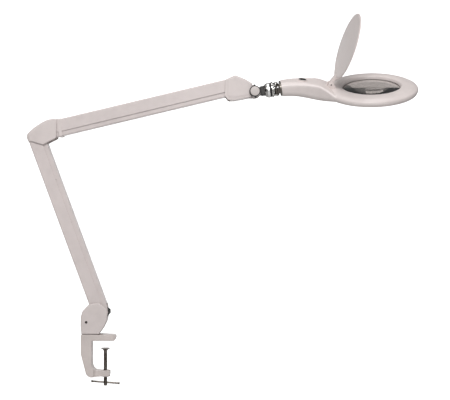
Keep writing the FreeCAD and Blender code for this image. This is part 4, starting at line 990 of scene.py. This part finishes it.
rings = []
for x, zc, w, h, rb, rt in spline(SECTIONS, 4):
    pts = [(-w, -h), (w, -h), (w, h), (-w, h)]
    # the top of the handle is slightly crowned
    ring = []
    for y, z in rounded(pts, [rb, rb, rt, rt], 8):
        k = min(1.0, max(0.0, (x + 120.0) / 36.0))
        k = k * k * (3 - 2 * k)
        crown = 0.4 - (0.4 + 7.6 * k) * (y / w) ** 2 if z > 0 else (0.5 + 3.0 * k) * (y / w) ** 2 - 0.5
        ring.append((x, y, zc + z + crown * min(1.0, abs(z) / h)))
    rings.append(ring)
total = temp(loft(rings))
ring_prof = rounded([(0, -10.2), (88.5, -10.2), (97.3, -8.2), (100.4, -1.5), (99.0, 3.4), (90.0, 8.0), (74.0, 10.2), (64.4, 9.6), (61.0, 2.6), (0, 2.6)],
                    [0, 5, 4, 3, 4, 20, 8, 4.5, 0, 0], 7)
combine(total, lathe(ring_prof, 160, "z", closed=False), "UNION")
remesh(total, 1.0, 6, 0.5)

HANDLE_TO_HEAD = HEAD.inverted() @ YOKE
tools = temp(lathe([(0, -14), (63.75, -14), (63.75, 2.2), (61.6, 2.2), (61.6, 13), (0, 13)], 128, "z", closed=False))
for geo in (lathe([(69.0, -14), (87.5, -14), (87.5, -7.3), (89.4, -7.3), (89.4, -1.0), (69.0, -1.0)], 128, "z"),
            box(-179.0, -15.0, 5.0, -134.0, 15.0, 20.0),
            moved(prism_x([(-14.7, -10.7), (14.7, -10.7), (14.7, 10.7), (-14.7, 10.7)], 8.7, 51.4, 71.4, 8), HANDLE_TO_HEAD),
            moved(box(20.0, -60, -60, 57.45, 60, 60), HANDLE_TO_HEAD),
            cyl(2.85, -20, -3.95, "z", (-128.0, -14.0, 0), 24), cyl(2.85, -20, -3.95, "z", (-128.0, 14.0, 0), 24)):
    combine(tools, geo, "UNION")
sw_dir = Vector((0.16, 0, 1.0)).normalized()
SW_TOP = 32.6 + (29.2 - 32.6) * 12.0 / 17.0
SW = Matrix.Translation(Vector((SWITCH_X, 0, SW_TOP))) @ Matrix.Rotation(math.atan2(0.16, 1.0), 4, "Y")
# raised lip round the switch
combine(total, moved(lathe([(8.35, -3.0), (10.2, -3.0), (10.2, 0.9), (9.9, 1.25), (8.7, 1.25), (8.35, 0.95)], 56, "z"), SW), "UNION")
combine(tools, moved(cyl(8.32, -10.6, 20.0, "z", n=56), SW), "UNION")
combine(total, tools)
bpy.data.objects.remove(tools)

split = [(-260, 9.0), (-194, 13.0), (-178, 14.4), (-160, 14.2), (-143, 11.2), (-127, 6.6), (-111, 2.9), (-98, 0.2), (-88, -1.0), (160, -1.0)]
lower = bpy.data.objects.new("lower_work", total.data.copy())
scene.collection.objects.link(lower)
zone = temp(prism([(x, z - 0.07) for x, z in split] + [(160, -60), (-260, -60)], 0, -130, 130, 1))
combine(zone, cyl(68.9, -80, 60, "z", n=128))
combine(total, zone)
bpy.data.objects.remove(zone)
zone = temp(prism([(x, z + 0.07) for x, z in split] + [(160, 60), (-260, 60)], 0, -130, 130, 1))
combine(zone, cyl(69.1, -80, 60, "z", n=128), "UNION")
combine(lower, zone)
bpy.data.objects.remove(zone)

# ears of the lid hinge, rounded lugs beside the tab of the lid
for y0, y1 in ((-9.6, -6.6), (6.6, 9.6)):
    e = temp(prism([(HX - 11.5, 8.0), (HX + 11.5, 6.6), (HX + 4.9, HZ + 4.5), (HX - 4.7, HZ + 4.5)], [1.5, 1.5, 4.4, 4.4], y0, y1, 9))
    bevel(e, 0.5, 3, 50)
    combine(total, e, "UNION")
    bpy.data.objects.remove(e)
combine(total, cyl(1.52, -15, 15, "y", (HX, 0, HZ), 28))
place(total, "head_upper_shell_looks", "head", M_shell, ["head_upper_shell"], HEAD, sharp=34, flat=False)
place(lower, "head_lower_shell_looks", "head", M_shell, ["head_lower_shell"], HEAD, sharp=34, flat=False)

# biconvex lens
rad = (LENS_R ** 2 + SAG ** 2) / (2 * SAG)
prof = [(0, -1.5 - SAG)]
for i in range(1, 21):
    r = LENS_R * i / 20
    prof.append((r, -1.5 - SAG + rad - math.sqrt(rad ** 2 - r ** 2)))
prof += [(r, -h) for r, h in reversed(prof)]
o = temp(lathe(prof, 128, "z", closed=False))
place(o, "magnifier_lens_looks", "head", M_lens, ["magnifier_lens"], HEAD, sharp=40, flat=False)

# push button with a shallow dish in its top
o = temp(lathe([(0, -6.0), (8.0, -6.0), (8.0, 0.9), (7.7, 1.4), (7.1, 1.6), (6.2, 1.5), (4.5, 1.1), (2.0, 0.85), (0, 0.8)], 56, "z", closed=False))
place(o, "switch_button_looks", "button", M_black_plastic, ["switch_button"], HEAD @ SW, sharp=35)

# lid, drawn closed over the lens and opened about its hinge
R = 72.0
lid_prof = rounded([(0, 13.4), (36, 13.0), (62, 12.0), (R - 7, 11.2), (R - 0.5, 11.1), (R, 11.7), (R - 0.9, 13.0), (R - 3.5, 13.9), (62, 14.2), (36, 14.9), (0, 15.1)],
                   [0, 60, 10, 1, 0.3, 0.5, 1.2, 4, 30, 60, 0], 6)
o = temp(moved(lathe(lid_prof, 160, "z", closed=False), Matrix.Translation((1.0, 0, 0))))
combine(o, prism([(HX, HZ - 3.2), (HX + 14, 12.8), (HX + 19, 11.7), (HX + 25, 13.6), (HX + 7, HZ + 2.6), (HX, HZ + 3.8)], [0, 5, 0, 0, 8, 0], -6.3, 6.3, 5), "UNION")
combine(o, prism_z([(-76.4, -6.2), (-60.5, -36.0), (-50.0, -20.0), (-50.0, 20.0), (-60.5, 36.0), (-76.4, 6.2)], [3, 6, 0, 0, 6, 3], 11.75, 13.55, 5), "UNION")
combine(o, cyl(3.85, -6.3, 6.3, "y", (HX, 0, HZ), 40), "UNION")
bevel(o, 0.35, 2, 50)
combine(o, cyl(1.56, -15, 15, "y", (HX, 0, HZ), 28))
OPEN = Matrix.Translation((HX, 0, HZ)) @ Matrix.Rotation(math.radians(-69.0), 4, "Y") @ Matrix.Translation((-HX, 0, -HZ))
place(o, "lens_lid_looks", "lid", M_shell, ["lens_lid"], HEAD @ OPEN, sharp=36)


# ------------------------------------------------------------ stage and camera
def studio(name, prof, emission, shade):
    """Strip of plain surface, swept from one side of the set to the other."""
    bm = bmesh.new()
    rows = [[bm.verts.new((x, y, z)) for y, z in prof] for x in (-2.3, 2.8)]
    for i in range(len(prof) - 1):
        bm.faces.new((rows[0][i], rows[1][i], rows[1][i + 1], rows[0][i + 1]))
    me = bpy.data.meshes.new(name)
    bm.to_mesh(me)
    bm.free()
    for p in me.polygons:
        p.use_smooth = True
    o = bpy.data.objects.new(name, me)
    scene.collection.objects.link(o)
    m, nt, b = mat("studio_" + name)
    v = coords(nt)
    nt.links.new(ramp(nt, noise(nt, v, 3.0, 2.0), [(0.3, mul((1, 1, 1), shade * 0.98)), (0.7, mul((1, 1, 1), shade))]), b.inputs["Base Color"])
    b.inputs["Roughness"].default_value = 0.95
    b.inputs["Specular IOR Level"].default_value = 0.05
    if emission:
        b.inputs["Emission Color"].default_value = (1, 1, 1, 1)
        b.inputs["Emission Strength"].default_value = emission
    me.materials.append(m)
    return o


sweep = [(5.0 + 1.5 * math.sin(math.pi / 2 * i / 24), -0.62 + 1.5 * (1 - math.cos(math.pi / 2 * i / 24))) for i in range(25)]
studio("floor", [(-3.4, -0.62), (2.7, -0.62)], 0.0, 0.80)
studio("backdrop", [(2.7, -0.62)] + sweep + [(6.5, 2.5)], 0.95, 0.90)


def area_light(name, loc, target, size, power, color=(1, 1, 1)):
    d = bpy.data.lights.new(name, "AREA")
    d.shape = "RECTANGLE"
    d.size, d.size_y = size
    d.energy = power
    d.color = color
    o = bpy.data.objects.new(name, d)
    o.location = loc
    o.rotation_euler = (Vector(target) - Vector(loc)).to_track_quat("-Z", "Y").to_euler()
    scene.collection.objects.link(o)
    return o


area_light("key_softbox", (0.10, -2.3, 2.1), (0.25, 0.0, 0.50), (1.4, 0.9), 45.0)
area_light("fill_softbox", (0.9, -3.0, 0.9), (0.25, 0.0, 0.4), (1.0, 1.2), 14.0)
area_light("top_softbox", (0.25, -0.2, 2.5), (0.25, 0.0, 0.3), (1.5, 0.8), 13.0)

world = bpy.data.worlds.new("studio")
scene.world = world
world.use_nodes = True
bg = world.node_tree.nodes["Background"]
bg.inputs["Color"].default_value = (1.0, 1.0, 1.0, 1)
bg.inputs["Strength"].default_value = 0.27

cam_data = bpy.data.cameras.new("photo_camera")
cam_data.lens = 93.5
cam_data.sensor_width = 36.0
cam_data.clip_end = 60.0
cam = bpy.data.objects.new("photo_camera", cam_data)
cam.location = (0.2557, -2.5, 0.2996)
cam.rotation_euler = (math.pi / 2, 0, 0)
scene.collection.objects.link(cam)
scene.camera = cam
scene.view_settings.view_transform = "Standard"

bpy.context.view_layer.update()
